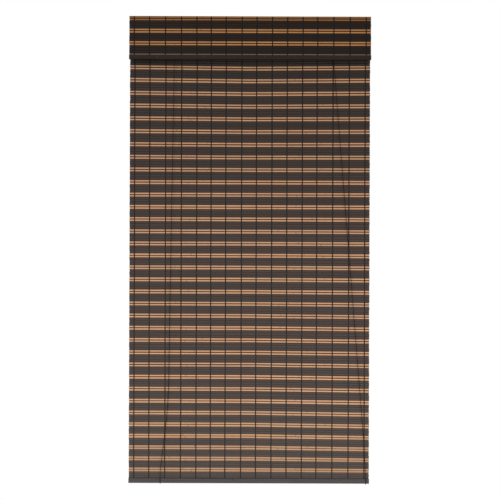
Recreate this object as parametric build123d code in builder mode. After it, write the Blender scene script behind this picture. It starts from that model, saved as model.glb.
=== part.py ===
from build123d import *
import math
import os

# Bamboo roll-up blind, hung on a wall, in millimetres.
# The wall is the plane y = 0 and the blind faces -Y. The origin lies on the wall, midway between
# the two wall screw holes. A mat of bamboo slats hangs from the headrail, a valance of the same
# mat folds over the headrail's top and front, and two lift cords run down behind the mat, round
# its lower edge and up its front to a pulley on the right and a cord lock on the left.

# Overall sizes
BLIND_WIDTH = 914.0
BLIND_HEIGHT = 1770.0
VALANCE_HEIGHT = 164.0

# Bamboo slats, and their repeat of colours counted down from the headrail
SLAT_WIDTH = 8.0
SLAT_THICKNESS = 1.8
SLAT_EDGE = 0.5
MAT_SLAT_GAP = 1.26
VALANCE_SLAT_GAP = 1.4
MAT_GAP_SHARES = (1.32, 1.40, 0.93, 1.12, 0.24)
VALANCE_GAP_SHARES = (1.0, 1.0)
NATURAL_SLAT_COUNT = 2
DARK_SLAT_COUNT = 3
TOP_SLAT_COUNT = 2

# Warp threads, flat bands of a few yarns
WARP_COUNT = 16
WARP_FROM_EDGE = 19.0
WARP_SHIFT_SHARES = (
    0.0, -0.02, 0.02, 0.05, 0.05, -0.02, -0.06, -0.03,
    -0.07, -0.06, -0.08, -0.08, -0.13, -0.09, -0.04, 0.0,
)
THREAD_WIDTH = 3.6
THREAD_THICKNESS = 0.5
THREAD_SEAT = 0.05

# Headrail, rear lath and the wall screw holes through both
HEADRAIL_HEIGHT = 34.0
HEADRAIL_DEPTH = 22.0
HEADRAIL_END_INSET = 4.0
HEADRAIL_EDGE = 1.0
HEADRAIL_TOP = 14.0
REAR_LATH_THICKNESS = 8.0
WALL_HOLE_FROM_END = 47.0
WALL_HOLE_RADIUS = 2.6
WALL_HEAD_RADIUS = 5.0
WALL_HEAD_DEPTH = 6.0

# Laths of the valance's and the mat's lower edges
VALANCE_LATH_HEIGHT = 17.0
VALANCE_LATH_THICKNESS = 4.0
VALANCE_BACK_LATH_THICKNESS = 3.0
VALANCE_LATH_OVERHANG = 5.0
BOTTOM_LATH_HEIGHT = 17.8
BOTTOM_LATH_THICKNESS = 5.0
BOTTOM_BACK_LATH_THICKNESS = 3.0
BOTTOM_LATH_OVERHANG = 9.0
LATH_EDGE = 1.5

# Nails and tacks, with the number of warp rows to the left of each
NAIL_WARP_COUNTS = (2, 5, 7, 9, 11, 14)
NAIL_RADIUS = 0.9
NAIL_HEAD_RADIUS = 1.8
NAIL_HEAD_THICKNESS = 0.8
NAIL_CLEARANCE = 0.05
NAIL_BITE = 10.0
NAIL_TIP_COVER = 0.5
TACK_HEAD_RADIUS = 2.4

# Grooved wheels of the pulley and the cord lock
PULLEY_FROM_EDGE = 161.0
WHEEL_RADIUS = 12.0
WHEEL_WIDTH = 6.0
GROOVE_RADIUS = 9.0
GROOVE_FLOOR_WIDTH = 2.8
GROOVE_MOUTH_WIDTH = 4.8
WHEEL_HUB_RADIUS = 4.4
WHEEL_WEB_RADIUS = 7.4
WHEEL_WEB_RECESS = 1.2
WHEEL_SIDE_GAP = 0.3
WHEEL_HEAD_ROOM = 1.0
PIN_RADIUS = 2.0
PIN_RUNNING_GAP = 0.05
PIN_SEAT_GAP = 0.02
PIN_HEAD_RADIUS = 3.5
PIN_HEAD_THICKNESS = 1.2
PIN_HEAD_EDGE = 0.4
SPACER_RADIUS = 4.0
SPACER_THICKNESS = 0.8
SPACER_GAP = 0.2

# Pressed brackets and their countersunk screws
PLATE_THICKNESS = 1.5
PLATE_BELOW_PIN = 6.5
PLATE_BESIDE_PIN = 7.0
PLATE_CORNER = 5.0
FOOT_LENGTH = 15.0
FOOT_CORNER = 3.0
SCREW_FROM_END = 6.0
SCREW_RADIUS = 1.5
SCREW_HEAD_RADIUS = 2.8
SCREW_LENGTH = 17.0
SCREW_POINT = 4.0
SCREW_CLEARANCE = 0.08
SCREW_SLOT_WIDTH = 0.7
SCREW_SLOT_DEPTH = 0.5

# Toothed cam of the cord lock
CAM_PIN_RADIUS = 1.5
CAM_HUB_RADIUS = 3.6
CAM_TIP_RADIUS = 2.0
CAM_ARM = 8.5
CAM_DROP = 1.0
CAM_SWING_DEG = 40.0
CAM_CORD_GAP = 0.4
CAM_SIDE_GAP = 0.6
CAM_TOOTH_COUNT = 5
CAM_TOOTH_DEPTH = 0.6
CAM_TOOTH_PITCH = 1.1

# Wire guide of the cord's run under the headrail
GUIDE_WIRE_RADIUS = 0.8
GUIDE_HALF_WIDTH = 3.2
GUIDE_BITE = 9.0
GUIDE_CORD_GAP = 0.5
GUIDE_CLEARANCE = 0.05

# Cords, knots and the put-away hanks
CORD_RADIUS = 1.0
CORD_GROOVE_GAP = 0.5
CORD_HOLE_GAP = 0.3
KNOT_RADIUS = 2.4
KNOT_HEIGHT = 4.0
KNOT_EDGE = 1.2
HANK_RUN = 36.0
HANK_FOLD_RADIUS = 6.0
HANK_LAYER_COUNT = 2
HANK_TURN_COUNT = 3
HANK_TURN_PITCH = 2.1
HANK_LAYER_PITCH = 2.2
HANK_EASE = 0.3
HANK_TOP = -54.5
HANK_LEAD_IN = 2.5
HANK_LEAD_OUT = 3.5
TIE_HEIGHT = 4.0
TIE_THICKNESS = 0.8

# Places across the depth, from the wall to the front
MAT_STACK = SLAT_THICKNESS + 2 * THREAD_THICKNESS + 4 * THREAD_SEAT
MAT_BACK = -REAR_LATH_THICKNESS
MAT_FRONT = MAT_BACK - MAT_STACK
HEADRAIL_FRONT = MAT_FRONT - HEADRAIL_DEPTH
VALANCE_FRONT = HEADRAIL_FRONT - MAT_STACK
SLAT_INSET = THREAD_THICKNESS + 2 * THREAD_SEAT
MAT_SLAT_BACK = MAT_BACK - SLAT_INSET
VALANCE_SLAT_BACK = HEADRAIL_FRONT - SLAT_INSET

# Places across the width
HEADRAIL_LENGTH = BLIND_WIDTH - 2 * HEADRAIL_END_INSET
WALL_HOLE_SPACING = HEADRAIL_LENGTH - 2 * WALL_HOLE_FROM_END
WARP_PITCH = (BLIND_WIDTH - 2 * WARP_FROM_EDGE) / (WARP_COUNT - 1)
PULLEY_X = BLIND_WIDTH / 2 - PULLEY_FROM_EDGE

# Places in height
BLIND_TOP = HEADRAIL_TOP + MAT_STACK
BLIND_BOTTOM = BLIND_TOP - BLIND_HEIGHT
HEADRAIL_BOTTOM = HEADRAIL_TOP - HEADRAIL_HEIGHT
VALANCE_BOTTOM = BLIND_TOP - VALANCE_HEIGHT
VALANCE_MAT_BOTTOM = VALANCE_BOTTOM + VALANCE_LATH_OVERHANG
MAT_BOTTOM = BLIND_BOTTOM + BOTTOM_LATH_OVERHANG
VALANCE_SLAT_TOP = BLIND_TOP - SLAT_INSET
TOP_SLAT_UNDERSIDE = HEADRAIL_TOP + SLAT_INSET
REPEAT_COUNT = NATURAL_SLAT_COUNT + DARK_SLAT_COUNT


def slat_tops(top, bottom, nominal_gap, gap_shares):
    """Upper edges of the slats that fill a height.

    The shares say how wide the gaps are beside the mean, at even steps from the top down."""
    length = top - bottom
    count = round((length + nominal_gap) / (SLAT_WIDTH + nominal_gap))
    steps = len(gap_shares) - 1
    weights = []
    for gap_index in range(count - 1):
        place = steps * gap_index / (count - 2)
        step = min(int(place), steps - 1)
        rise = gap_shares[step + 1] - gap_shares[step]
        weights.append(gap_shares[step] + rise * (place - step))
    unit_gap = (length - count * SLAT_WIDTH) / sum(weights)
    tops = [top]
    for weight in weights:
        tops.append(tops[-1] - SLAT_WIDTH - unit_gap * weight)
    return tops


MAT_TOPS = slat_tops(HEADRAIL_TOP, MAT_BOTTOM, MAT_SLAT_GAP, MAT_GAP_SHARES)
VALANCE_TOPS = slat_tops(
    VALANCE_SLAT_TOP, VALANCE_MAT_BOTTOM, VALANCE_SLAT_GAP, VALANCE_GAP_SHARES
)
# The first mat slat is the lower one of a natural pair, the first valance slat the upper one.
MAT_NATURAL = [z for i, z in enumerate(MAT_TOPS) if (i + 1) % REPEAT_COUNT < NATURAL_SLAT_COUNT]
MAT_DARK = [z for i, z in enumerate(MAT_TOPS) if (i + 1) % REPEAT_COUNT >= NATURAL_SLAT_COUNT]
VALANCE_NATURAL = [z for i, z in enumerate(VALANCE_TOPS) if i % REPEAT_COUNT < NATURAL_SLAT_COUNT]
VALANCE_DARK = [z for i, z in enumerate(VALANCE_TOPS) if i % REPEAT_COUNT >= NATURAL_SLAT_COUNT]

WARP_X = [
    (i - (WARP_COUNT - 1) / 2 + share) * WARP_PITCH for i, share in enumerate(WARP_SHIFT_SHARES)
]
NAIL_X = [(WARP_X[rows - 1] + WARP_X[rows]) / 2 for rows in NAIL_WARP_COUNTS]
REAR_NAIL_Z = MAT_TOPS[2] - SLAT_WIDTH / 2
VALANCE_NAIL_Z = VALANCE_TOPS[-1] - SLAT_WIDTH / 2
BOTTOM_NAIL_Z = MAT_TOPS[-1] - SLAT_WIDTH / 2
TOP_SLAT_Y = [
    HEADRAIL_FRONT + SLAT_WIDTH / 2 + i * (SLAT_WIDTH + VALANCE_SLAT_GAP)
    for i in range(TOP_SLAT_COUNT)
]
TACK_Y = TOP_SLAT_Y[-1]

# The pocket under the headrail, between the mat and the valance, holds the wheels.
POCKET_MIDDLE = (MAT_FRONT + HEADRAIL_FRONT) / 2
WHEEL_Z = HEADRAIL_BOTTOM - PLATE_THICKNESS - WHEEL_HEAD_ROOM - WHEEL_RADIUS
WHEEL_STEP = (WHEEL_WIDTH + SPACER_THICKNESS) / 2 + SPACER_GAP
FRONT_WHEEL_Y = POCKET_MIDDLE - WHEEL_STEP
REAR_WHEEL_Y = POCKET_MIDDLE + WHEEL_STEP
CORD_WRAP = GROOVE_RADIUS + CORD_RADIUS + CORD_GROOVE_GAP
LOCK_HALF_GAP = WHEEL_STEP + WHEEL_WIDTH / 2 + WHEEL_SIDE_GAP
PULLEY_HALF_GAP = WHEEL_WIDTH / 2 + WHEEL_SIDE_GAP
TAIL_X = -PULLEY_X - CORD_WRAP
CAM_REACH = CAM_ARM * math.sin(math.radians(CAM_SWING_DEG)) + CAM_TIP_RADIUS
CAM_X = TAIL_X - CORD_RADIUS - CAM_CORD_GAP - CAM_REACH
CAM_Z = WHEEL_Z - CAM_DROP
HANK_OUTER = HANK_FOLD_RADIUS + (HANK_LAYER_COUNT - 1) * HANK_LAYER_PITCH + CORD_RADIUS + HANK_EASE
HANK_DEPTH = (HANK_TURN_COUNT - 1) * HANK_TURN_PITCH + 2 * CORD_RADIUS + HANK_EASE
HANK_X = TAIL_X - HANK_FOLD_RADIUS
HANK_Z = HANK_TOP - HANK_OUTER - HANK_RUN / 2
HANK_BOTTOM = HANK_TOP - HANK_RUN - 2 * HANK_OUTER
GUIDE_Z = WHEEL_Z + CORD_WRAP - CORD_RADIUS - GUIDE_CORD_GAP - GUIDE_WIRE_RADIUS
FOOT_UNDERSIDE = HEADRAIL_BOTTOM - PLATE_THICKNESS

# Routes of the lift cords, from the knot on the rear lath to the hank, chosen by hand: down the
# mat's back, round its lower edge, up its front and over the wheels
LEFT_ROUTE = [
    (-296.0, -4.0, 14.0),
    (-296.0, -4.0, -30.0),
    (-336.5, -2.4, -1756.0),
    (-336.5, -18.6, -1756.0),
    (-336.0, -18.2, -1700.0),
    (-324.0, -16.5, -1610.0),
    (-302.5, -15.0, -1425.0),
    (-285.5, -25.6, -24.0),
    (-306.5, -25.6, -24.0),
    (-306.5, -25.6, -52.0),
]
RIGHT_ROUTE = [
    (296.0, -4.0, 14.0),
    (296.0, -4.0, -30.0),
    (445.0, -2.4, -1756.0),
    (445.0, -18.6, -1756.0),
    (438.5, -18.4, -1618.0),
    (306.5, -18.4, -24.0),
    (-306.5, -18.4, -24.0),
    (-306.5, -18.4, -52.0),
]
EDGE_ARC = 6.0
WHEEL_ARC = 10.2
BEND_RUN_SHARE = 0.45
LEFT_TIGHT = {2: EDGE_ARC, 3: EDGE_ARC, 7: WHEEL_ARC, 8: WHEEL_ARC}
RIGHT_TIGHT = {2: EDGE_ARC, 3: EDGE_ARC, 5: WHEEL_ARC, 6: WHEEL_ARC}

os.makedirs("parts", exist_ok=True)


def save(builder, name):
    """Labels a finished piece and writes its file."""
    builder.part.label = name
    export_step(builder.part, f"parts/{name}.step")


# Slats of the mat and the valance: strips with a flat back and bevelled front edges
def slat_profile(front):
    """Section of one slat below its upper edge; front is -1 or 1, the way its face looks."""
    face = front * SLAT_THICKNESS
    shoulder = front * (SLAT_THICKNESS - SLAT_EDGE)
    return [
        (0, 0),
        (shoulder, 0),
        (face, -SLAT_EDGE),
        (face, SLAT_EDGE - SLAT_WIDTH),
        (shoulder, -SLAT_WIDTH),
        (0, -SLAT_WIDTH),
    ]


SLAT_ENDS = Plane.YZ.offset(-BLIND_WIDTH / 2)


def hanging_slats(back, tops):
    """The sections of a column of slats, drawn across the depth and up."""
    with Locations(*[(back, z) for z in tops]):
        Polygon(*slat_profile(-1), align=None)


with BuildPart() as natural_slats:
    with BuildSketch(SLAT_ENDS):
        hanging_slats(MAT_SLAT_BACK, MAT_NATURAL)
    extrude(amount=BLIND_WIDTH)
    for nail_z in (REAR_NAIL_Z, BOTTOM_NAIL_Z):
        with BuildSketch(Plane.XZ.offset(-MAT_BACK)):
            with Locations(*[(x, nail_z) for x in NAIL_X]):
                Circle(NAIL_RADIUS + NAIL_CLEARANCE)
        extrude(amount=MAT_STACK, mode=Mode.SUBTRACT)

with BuildPart() as dark_slats:
    with BuildSketch(SLAT_ENDS):
        hanging_slats(MAT_SLAT_BACK, MAT_DARK)
    extrude(amount=BLIND_WIDTH)
    for nail_z in (REAR_NAIL_Z, BOTTOM_NAIL_Z):
        with BuildSketch(Plane.XZ.offset(-MAT_BACK)):
            with Locations(*[(x, nail_z) for x in NAIL_X]):
                Circle(NAIL_RADIUS + NAIL_CLEARANCE)
        extrude(amount=MAT_STACK, mode=Mode.SUBTRACT)
    with BuildSketch(Plane.XZ.offset(-MAT_BACK)):
        with GridLocations(WALL_HOLE_SPACING, 0, 2, 1):
            Circle(WALL_HOLE_RADIUS)
    extrude(amount=MAT_STACK, mode=Mode.SUBTRACT)

with BuildPart() as valance_natural_slats:
    with BuildSketch(SLAT_ENDS):
        hanging_slats(VALANCE_SLAT_BACK, VALANCE_NATURAL)
    extrude(amount=BLIND_WIDTH)
    with BuildSketch(Plane.XZ.offset(-HEADRAIL_FRONT)):
        with Locations(*[(x, VALANCE_NAIL_Z) for x in NAIL_X]):
            Circle(NAIL_RADIUS + NAIL_CLEARANCE)
    extrude(amount=MAT_STACK, mode=Mode.SUBTRACT)

with BuildPart() as valance_dark_slats:
    with BuildSketch(SLAT_ENDS):
        hanging_slats(VALANCE_SLAT_BACK, VALANCE_DARK)
    extrude(amount=BLIND_WIDTH)
    with BuildSketch(Plane.XZ.offset(-HEADRAIL_FRONT)):
        with Locations(*[(x, VALANCE_NAIL_Z) for x in NAIL_X]):
            Circle(NAIL_RADIUS + NAIL_CLEARANCE)
    extrude(amount=MAT_STACK, mode=Mode.SUBTRACT)

# The slats of the valance that lie on the headrail's top, with their tack holes
with BuildPart() as top_slats:
    with Locations(*[(0, y, TOP_SLAT_UNDERSIDE) for y in TOP_SLAT_Y]):
        Box(
            BLIND_WIDTH,
            SLAT_WIDTH,
            SLAT_THICKNESS,
            align=(Align.CENTER, Align.CENTER, Align.MIN),
        )
    chamfer(top_slats.faces().group_by(Axis.Z)[-1].edges().filter_by(Axis.X), SLAT_EDGE)
    with BuildSketch(Plane.XY.offset(TOP_SLAT_UNDERSIDE)):
        with Locations(*[(x, TACK_Y) for x in NAIL_X]):
            Circle(NAIL_RADIUS + NAIL_CLEARANCE)
    extrude(amount=SLAT_THICKNESS, mode=Mode.SUBTRACT)

for slats, slats_name in (
    (natural_slats, "natural_slats"),
    (dark_slats, "dark_slats"),
    (valance_natural_slats, "valance_natural_slats"),
    (valance_dark_slats, "valance_dark_slats"),
    (top_slats, "top_slats"),
):
    save(slats, slats_name)

# Warp threads: each row has one strand in front of the slats and one behind them
MAT_LENGTH = HEADRAIL_TOP - MAT_BOTTOM
STRAND_STEP = SLAT_THICKNESS + THREAD_THICKNESS + 2 * THREAD_SEAT
with BuildPart() as warp_threads:
    for strand in range(2):
        strand_back = MAT_BACK - THREAD_SEAT - strand * STRAND_STEP
        with Locations(*[(x, strand_back, HEADRAIL_TOP) for x in WARP_X]):
            Box(
                THREAD_WIDTH,
                THREAD_THICKNESS,
                MAT_LENGTH,
                align=(Align.CENTER, Align.MAX, Align.MAX),
            )
save(warp_threads, "warp_threads")

TOP_MAT_REAR = TOP_SLAT_Y[-1] + SLAT_WIDTH / 2
with BuildPart() as valance_thread_pair:
    with BuildSketch(Plane.YZ):
        for strand in range(2):
            rise = THREAD_SEAT + strand * STRAND_STEP
            inner_y = HEADRAIL_FRONT - rise
            inner_z = HEADRAIL_TOP + rise
            Polygon(
                (TOP_MAT_REAR, inner_z),
                (TOP_MAT_REAR, inner_z + THREAD_THICKNESS),
                (inner_y - THREAD_THICKNESS, inner_z + THREAD_THICKNESS),
                (inner_y - THREAD_THICKNESS, VALANCE_MAT_BOTTOM),
                (inner_y, VALANCE_MAT_BOTTOM),
                (inner_y, inner_z),
                align=None,
            )
    extrude(amount=THREAD_WIDTH / 2, both=True)

with BuildPart() as valance_warp_threads:
    with Locations(*[(x, 0, 0) for x in WARP_X]):
        add(valance_thread_pair.part)
save(valance_warp_threads, "valance_warp_threads")

# Headrail: a batten with bevelled edges, drilled for the wall screws and its own fasteners
LOCK_LEFT = CAM_X - PLATE_BESIDE_PIN
LOCK_RIGHT = -PULLEY_X + PLATE_BESIDE_PIN
LOCK_SCREW_X = (
    LOCK_LEFT - FOOT_LENGTH + SCREW_FROM_END,
    LOCK_RIGHT + FOOT_LENGTH - SCREW_FROM_END,
)
PULLEY_SCREW_X = (
    PULLEY_X - PLATE_BESIDE_PIN - FOOT_LENGTH + SCREW_FROM_END,
    PULLEY_X + PLATE_BESIDE_PIN + FOOT_LENGTH - SCREW_FROM_END,
)
SCREW_PLACES = [(x, POCKET_MIDDLE) for x in LOCK_SCREW_X] + [(x, REAR_WHEEL_Y) for x in PULLEY_SCREW_X]
GUIDE_LEGS = [(0, REAR_WHEEL_Y - GUIDE_HALF_WIDTH), (0, REAR_WHEEL_Y + GUIDE_HALF_WIDTH)]

with BuildPart() as headrail:
    with Locations((0, MAT_FRONT, HEADRAIL_TOP)):
        Box(
            HEADRAIL_LENGTH,
            HEADRAIL_DEPTH,
            HEADRAIL_HEIGHT,
            align=(Align.CENTER, Align.MAX, Align.MAX),
        )
    chamfer(headrail.edges().filter_by(Axis.X), HEADRAIL_EDGE)
    with BuildSketch(Plane.XZ.offset(-MAT_FRONT)):
        with GridLocations(WALL_HOLE_SPACING, 0, 2, 1):
            Circle(WALL_HOLE_RADIUS)
    extrude(amount=HEADRAIL_DEPTH, mode=Mode.SUBTRACT)
    with BuildSketch(Plane.XZ.offset(-HEADRAIL_FRONT)):
        with GridLocations(WALL_HOLE_SPACING, 0, 2, 1):
            Circle(WALL_HEAD_RADIUS)
    extrude(amount=-WALL_HEAD_DEPTH, mode=Mode.SUBTRACT)
    with BuildSketch(Plane.XZ.offset(-MAT_FRONT)):
        with Locations(*[(x, REAR_NAIL_Z) for x in NAIL_X]):
            Circle(NAIL_RADIUS + NAIL_CLEARANCE)
    extrude(amount=NAIL_BITE + NAIL_TIP_COVER, mode=Mode.SUBTRACT)
    with BuildSketch(Plane.XY.offset(HEADRAIL_TOP)):
        with Locations(*[(x, TACK_Y) for x in NAIL_X]):
            Circle(NAIL_RADIUS + NAIL_CLEARANCE)
    extrude(amount=-NAIL_BITE - NAIL_TIP_COVER, mode=Mode.SUBTRACT)
    with BuildSketch(Plane.XY.offset(HEADRAIL_BOTTOM)):
        with Locations(*SCREW_PLACES):
            Circle(SCREW_RADIUS + SCREW_CLEARANCE)
    extrude(amount=SCREW_LENGTH, mode=Mode.SUBTRACT)
    with BuildSketch(Plane.XY.offset(HEADRAIL_BOTTOM)):
        with Locations(*GUIDE_LEGS):
            Circle(GUIDE_WIRE_RADIUS + GUIDE_CLEARANCE)
    extrude(amount=GUIDE_BITE + NAIL_TIP_COVER, mode=Mode.SUBTRACT)
save(headrail, "headrail")

# Rear lath: clamps the mat's upper end to the headrail and holds the cords' fixed ends
with BuildPart() as rear_lath:
    with Locations((0, 0, HEADRAIL_TOP)):
        Box(
            HEADRAIL_LENGTH,
            REAR_LATH_THICKNESS,
            HEADRAIL_HEIGHT,
            align=(Align.CENTER, Align.MAX, Align.MAX),
        )
    with BuildSketch(Plane.XZ):
        with GridLocations(WALL_HOLE_SPACING, 0, 2, 1):
            Circle(WALL_HOLE_RADIUS)
        with Locations(*[(x, REAR_NAIL_Z) for x in NAIL_X]):
            Circle(NAIL_RADIUS + NAIL_CLEARANCE)
    extrude(amount=REAR_LATH_THICKNESS, mode=Mode.SUBTRACT)
    with BuildSketch(Plane.XZ):
        with Locations(*[(x, REAR_NAIL_Z) for x in NAIL_X]):
            Circle(NAIL_HEAD_RADIUS + NAIL_CLEARANCE)
    extrude(amount=NAIL_HEAD_THICKNESS, mode=Mode.SUBTRACT)
    with BuildSketch(Plane.XY.offset(HEADRAIL_TOP)):
        with Locations((-PULLEY_X, MAT_BACK / 2), (PULLEY_X, MAT_BACK / 2)):
            Circle(CORD_RADIUS + CORD_HOLE_GAP)
    extrude(amount=-HEADRAIL_HEIGHT, mode=Mode.SUBTRACT)
save(rear_lath, "rear_lath")


# Laths of the lower edges
def edge_lath(back, bottom, height, thickness, front_edges):
    """A lath with its back at y = back and rounded edges on its free side."""
    with BuildPart() as lath:
        with Locations((0, back, bottom)):
            Box(
                BLIND_WIDTH,
                thickness,
                height,
                align=(Align.CENTER, Align.MAX, Align.MIN),
            )
        free_side = lath.faces().sort_by(Axis.Y)[0 if front_edges else -1]
        fillet(free_side.edges().filter_by(Axis.X), LATH_EDGE)
    return lath


def front_lath(back, bottom, height, thickness, nail_z):
    """A lath in front of the slats, with nail holes and flush seats for the nails' heads."""
    plain = edge_lath(back, bottom, height, thickness, True)
    with BuildPart() as drilled:
        add(plain.part)
        with BuildSketch(Plane.XZ.offset(-back)):
            with Locations(*[(x, nail_z) for x in NAIL_X]):
                Circle(NAIL_RADIUS + NAIL_CLEARANCE)
        extrude(amount=thickness, mode=Mode.SUBTRACT)
        with BuildSketch(Plane.XZ.offset(thickness - back)):
            with Locations(*[(x, nail_z) for x in NAIL_X]):
                Circle(NAIL_HEAD_RADIUS + NAIL_CLEARANCE)
        extrude(amount=-NAIL_HEAD_THICKNESS, mode=Mode.SUBTRACT)
    return drilled


def back_lath(front, bottom, height, thickness, nail_z):
    """A lath behind the slats, whose blind holes take the nails' points."""
    plain = edge_lath(front + thickness, bottom, height, thickness, False)
    with BuildPart() as drilled:
        add(plain.part)
        with BuildSketch(Plane.XZ.offset(-front)):
            with Locations(*[(x, nail_z) for x in NAIL_X]):
                Circle(NAIL_RADIUS + NAIL_CLEARANCE)
        extrude(amount=NAIL_TIP_COVER - thickness, mode=Mode.SUBTRACT)
    return drilled


valance_lath = front_lath(
    VALANCE_FRONT,
    VALANCE_BOTTOM,
    VALANCE_LATH_HEIGHT,
    VALANCE_LATH_THICKNESS,
    VALANCE_NAIL_Z,
)
save(valance_lath, "valance_lath")
valance_back_lath = back_lath(
    HEADRAIL_FRONT,
    VALANCE_BOTTOM,
    VALANCE_LATH_HEIGHT,
    VALANCE_BACK_LATH_THICKNESS,
    VALANCE_NAIL_Z,
)
save(valance_back_lath, "valance_back_lath")
bottom_lath = front_lath(
    MAT_FRONT,
    BLIND_BOTTOM,
    BOTTOM_LATH_HEIGHT,
    BOTTOM_LATH_THICKNESS,
    BOTTOM_NAIL_Z,
)
save(bottom_lath, "bottom_lath")
bottom_back_lath = back_lath(
    MAT_BACK,
    BLIND_BOTTOM,
    BOTTOM_LATH_HEIGHT,
    BOTTOM_BACK_LATH_THICKNESS,
    BOTTOM_NAIL_Z,
)
save(bottom_back_lath, "bottom_back_lath")


# Nails: a round shank under a flat head, one group for each lath
def nail_row(plane, places, length, head_radius):
    """Nails whose heads start on the plane and whose shanks run along its normal."""
    with BuildPart() as nails:
        with BuildSketch(plane):
            with Locations(*places):
                Circle(head_radius)
        extrude(amount=NAIL_HEAD_THICKNESS)
        with BuildSketch(plane):
            with Locations(*places):
                Circle(NAIL_RADIUS)
        extrude(amount=length)
    return nails


FRONTWARD = Plane.XZ
BACKWARD = Plane(origin=(0, 0, 0), x_dir=(-1, 0, 0), z_dir=(0, 1, 0))
rear_lath_nails = nail_row(
    FRONTWARD,
    [(x, REAR_NAIL_Z) for x in NAIL_X],
    REAR_LATH_THICKNESS + MAT_STACK + NAIL_BITE,
    NAIL_HEAD_RADIUS,
)
save(rear_lath_nails, "rear_lath_nails")
valance_lath_nails = nail_row(
    BACKWARD.offset(VALANCE_FRONT - VALANCE_LATH_THICKNESS),
    [(-x, VALANCE_NAIL_Z) for x in NAIL_X],
    VALANCE_LATH_THICKNESS + MAT_STACK + VALANCE_BACK_LATH_THICKNESS - 2 * NAIL_TIP_COVER,
    NAIL_HEAD_RADIUS,
)
save(valance_lath_nails, "valance_lath_nails")
bottom_lath_nails = nail_row(
    BACKWARD.offset(MAT_FRONT - BOTTOM_LATH_THICKNESS),
    [(-x, BOTTOM_NAIL_Z) for x in NAIL_X],
    BOTTOM_LATH_THICKNESS + MAT_STACK + BOTTOM_BACK_LATH_THICKNESS - 2 * NAIL_TIP_COVER,
    NAIL_HEAD_RADIUS,
)
save(bottom_lath_nails, "bottom_lath_nails")
TACK_HEAD_TOP = TOP_SLAT_UNDERSIDE + SLAT_THICKNESS + NAIL_HEAD_THICKNESS
valance_tacks = nail_row(
    Plane(origin=(0, 0, TACK_HEAD_TOP), x_dir=(1, 0, 0), z_dir=(0, 0, -1)),
    [(x, -TACK_Y) for x in NAIL_X],
    TACK_HEAD_TOP - HEADRAIL_TOP + NAIL_BITE,
    TACK_HEAD_RADIUS,
)
save(valance_tacks, "valance_tacks")


# Grooved wheels, turned about an axis along Y
def grooved_wheel(x, y):
    """A wheel with a cord groove, recessed webs and a hub bored to run on its pin."""
    half = WHEEL_WIDTH / 2
    web = half - WHEEL_WEB_RECESS
    with BuildPart() as wheel:
        with BuildSketch(Plane(origin=(x, y, WHEEL_Z), x_dir=(1, 0, 0), z_dir=(0, 0, 1))):
            Polygon(
                (PIN_RADIUS + PIN_RUNNING_GAP, -half),
                (WHEEL_HUB_RADIUS, -half),
                (WHEEL_HUB_RADIUS, -web),
                (WHEEL_WEB_RADIUS, -web),
                (WHEEL_WEB_RADIUS, -half),
                (WHEEL_RADIUS, -half),
                (WHEEL_RADIUS, -GROOVE_MOUTH_WIDTH / 2),
                (GROOVE_RADIUS, -GROOVE_FLOOR_WIDTH / 2),
                (GROOVE_RADIUS, GROOVE_FLOOR_WIDTH / 2),
                (WHEEL_RADIUS, GROOVE_MOUTH_WIDTH / 2),
                (WHEEL_RADIUS, half),
                (WHEEL_WEB_RADIUS, half),
                (WHEEL_WEB_RADIUS, web),
                (WHEEL_HUB_RADIUS, web),
                (WHEEL_HUB_RADIUS, half),
                (PIN_RADIUS + PIN_RUNNING_GAP, half),
                align=None,
            )
        revolve(axis=Axis((x, y, WHEEL_Z), (0, 1, 0)))
    return wheel


pulley_wheel = grooved_wheel(PULLEY_X, REAR_WHEEL_Y)
save(pulley_wheel, "pulley_wheel")
lock_front_wheel = grooved_wheel(-PULLEY_X, FRONT_WHEEL_Y)
save(lock_front_wheel, "lock_front_wheel")
lock_rear_wheel = grooved_wheel(-PULLEY_X, REAR_WHEEL_Y)
save(lock_rear_wheel, "lock_rear_wheel")

with BuildPart() as lock_spacer:
    with BuildSketch(Plane.XZ.offset(-POCKET_MIDDLE)):
        with Locations((-PULLEY_X, WHEEL_Z)):
            Circle(SPACER_RADIUS)
            Circle(PIN_RADIUS + PIN_RUNNING_GAP, mode=Mode.SUBTRACT)
    extrude(amount=SPACER_THICKNESS / 2, both=True)
save(lock_spacer, "lock_spacer")


# Rivet pins, headed at both ends against the bracket's cheeks
def rivet_pin(x, y, z, radius, half_gap):
    """A pin through two cheeks that stand half_gap to each side of y."""
    half = half_gap + PLATE_THICKNESS
    with BuildPart() as pin:
        with BuildSketch(Plane.XZ.offset(-y)):
            with Locations((x, z)):
                Circle(radius)
        extrude(amount=half, both=True)
        for side in (-1, 1):
            with BuildSketch(Plane.XZ.offset(side * half - y)):
                with Locations((x, z)):
                    Circle(PIN_HEAD_RADIUS)
            extrude(amount=side * PIN_HEAD_THICKNESS)
        rims = pin.edges().filter_by(GeomType.CIRCLE).sort_by(Axis.Y)
        chamfer([rims[0], rims[-1]], PIN_HEAD_EDGE)
    return pin


pulley_pin = rivet_pin(PULLEY_X, REAR_WHEEL_Y, WHEEL_Z, PIN_RADIUS, PULLEY_HALF_GAP)
save(pulley_pin, "pulley_pin")
lock_wheel_pin = rivet_pin(-PULLEY_X, POCKET_MIDDLE, WHEEL_Z, PIN_RADIUS, LOCK_HALF_GAP)
save(lock_wheel_pin, "lock_wheel_pin")
lock_cam_pin = rivet_pin(CAM_X, POCKET_MIDDLE, CAM_Z, CAM_PIN_RADIUS, LOCK_HALF_GAP)
save(lock_cam_pin, "lock_cam_pin")


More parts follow.
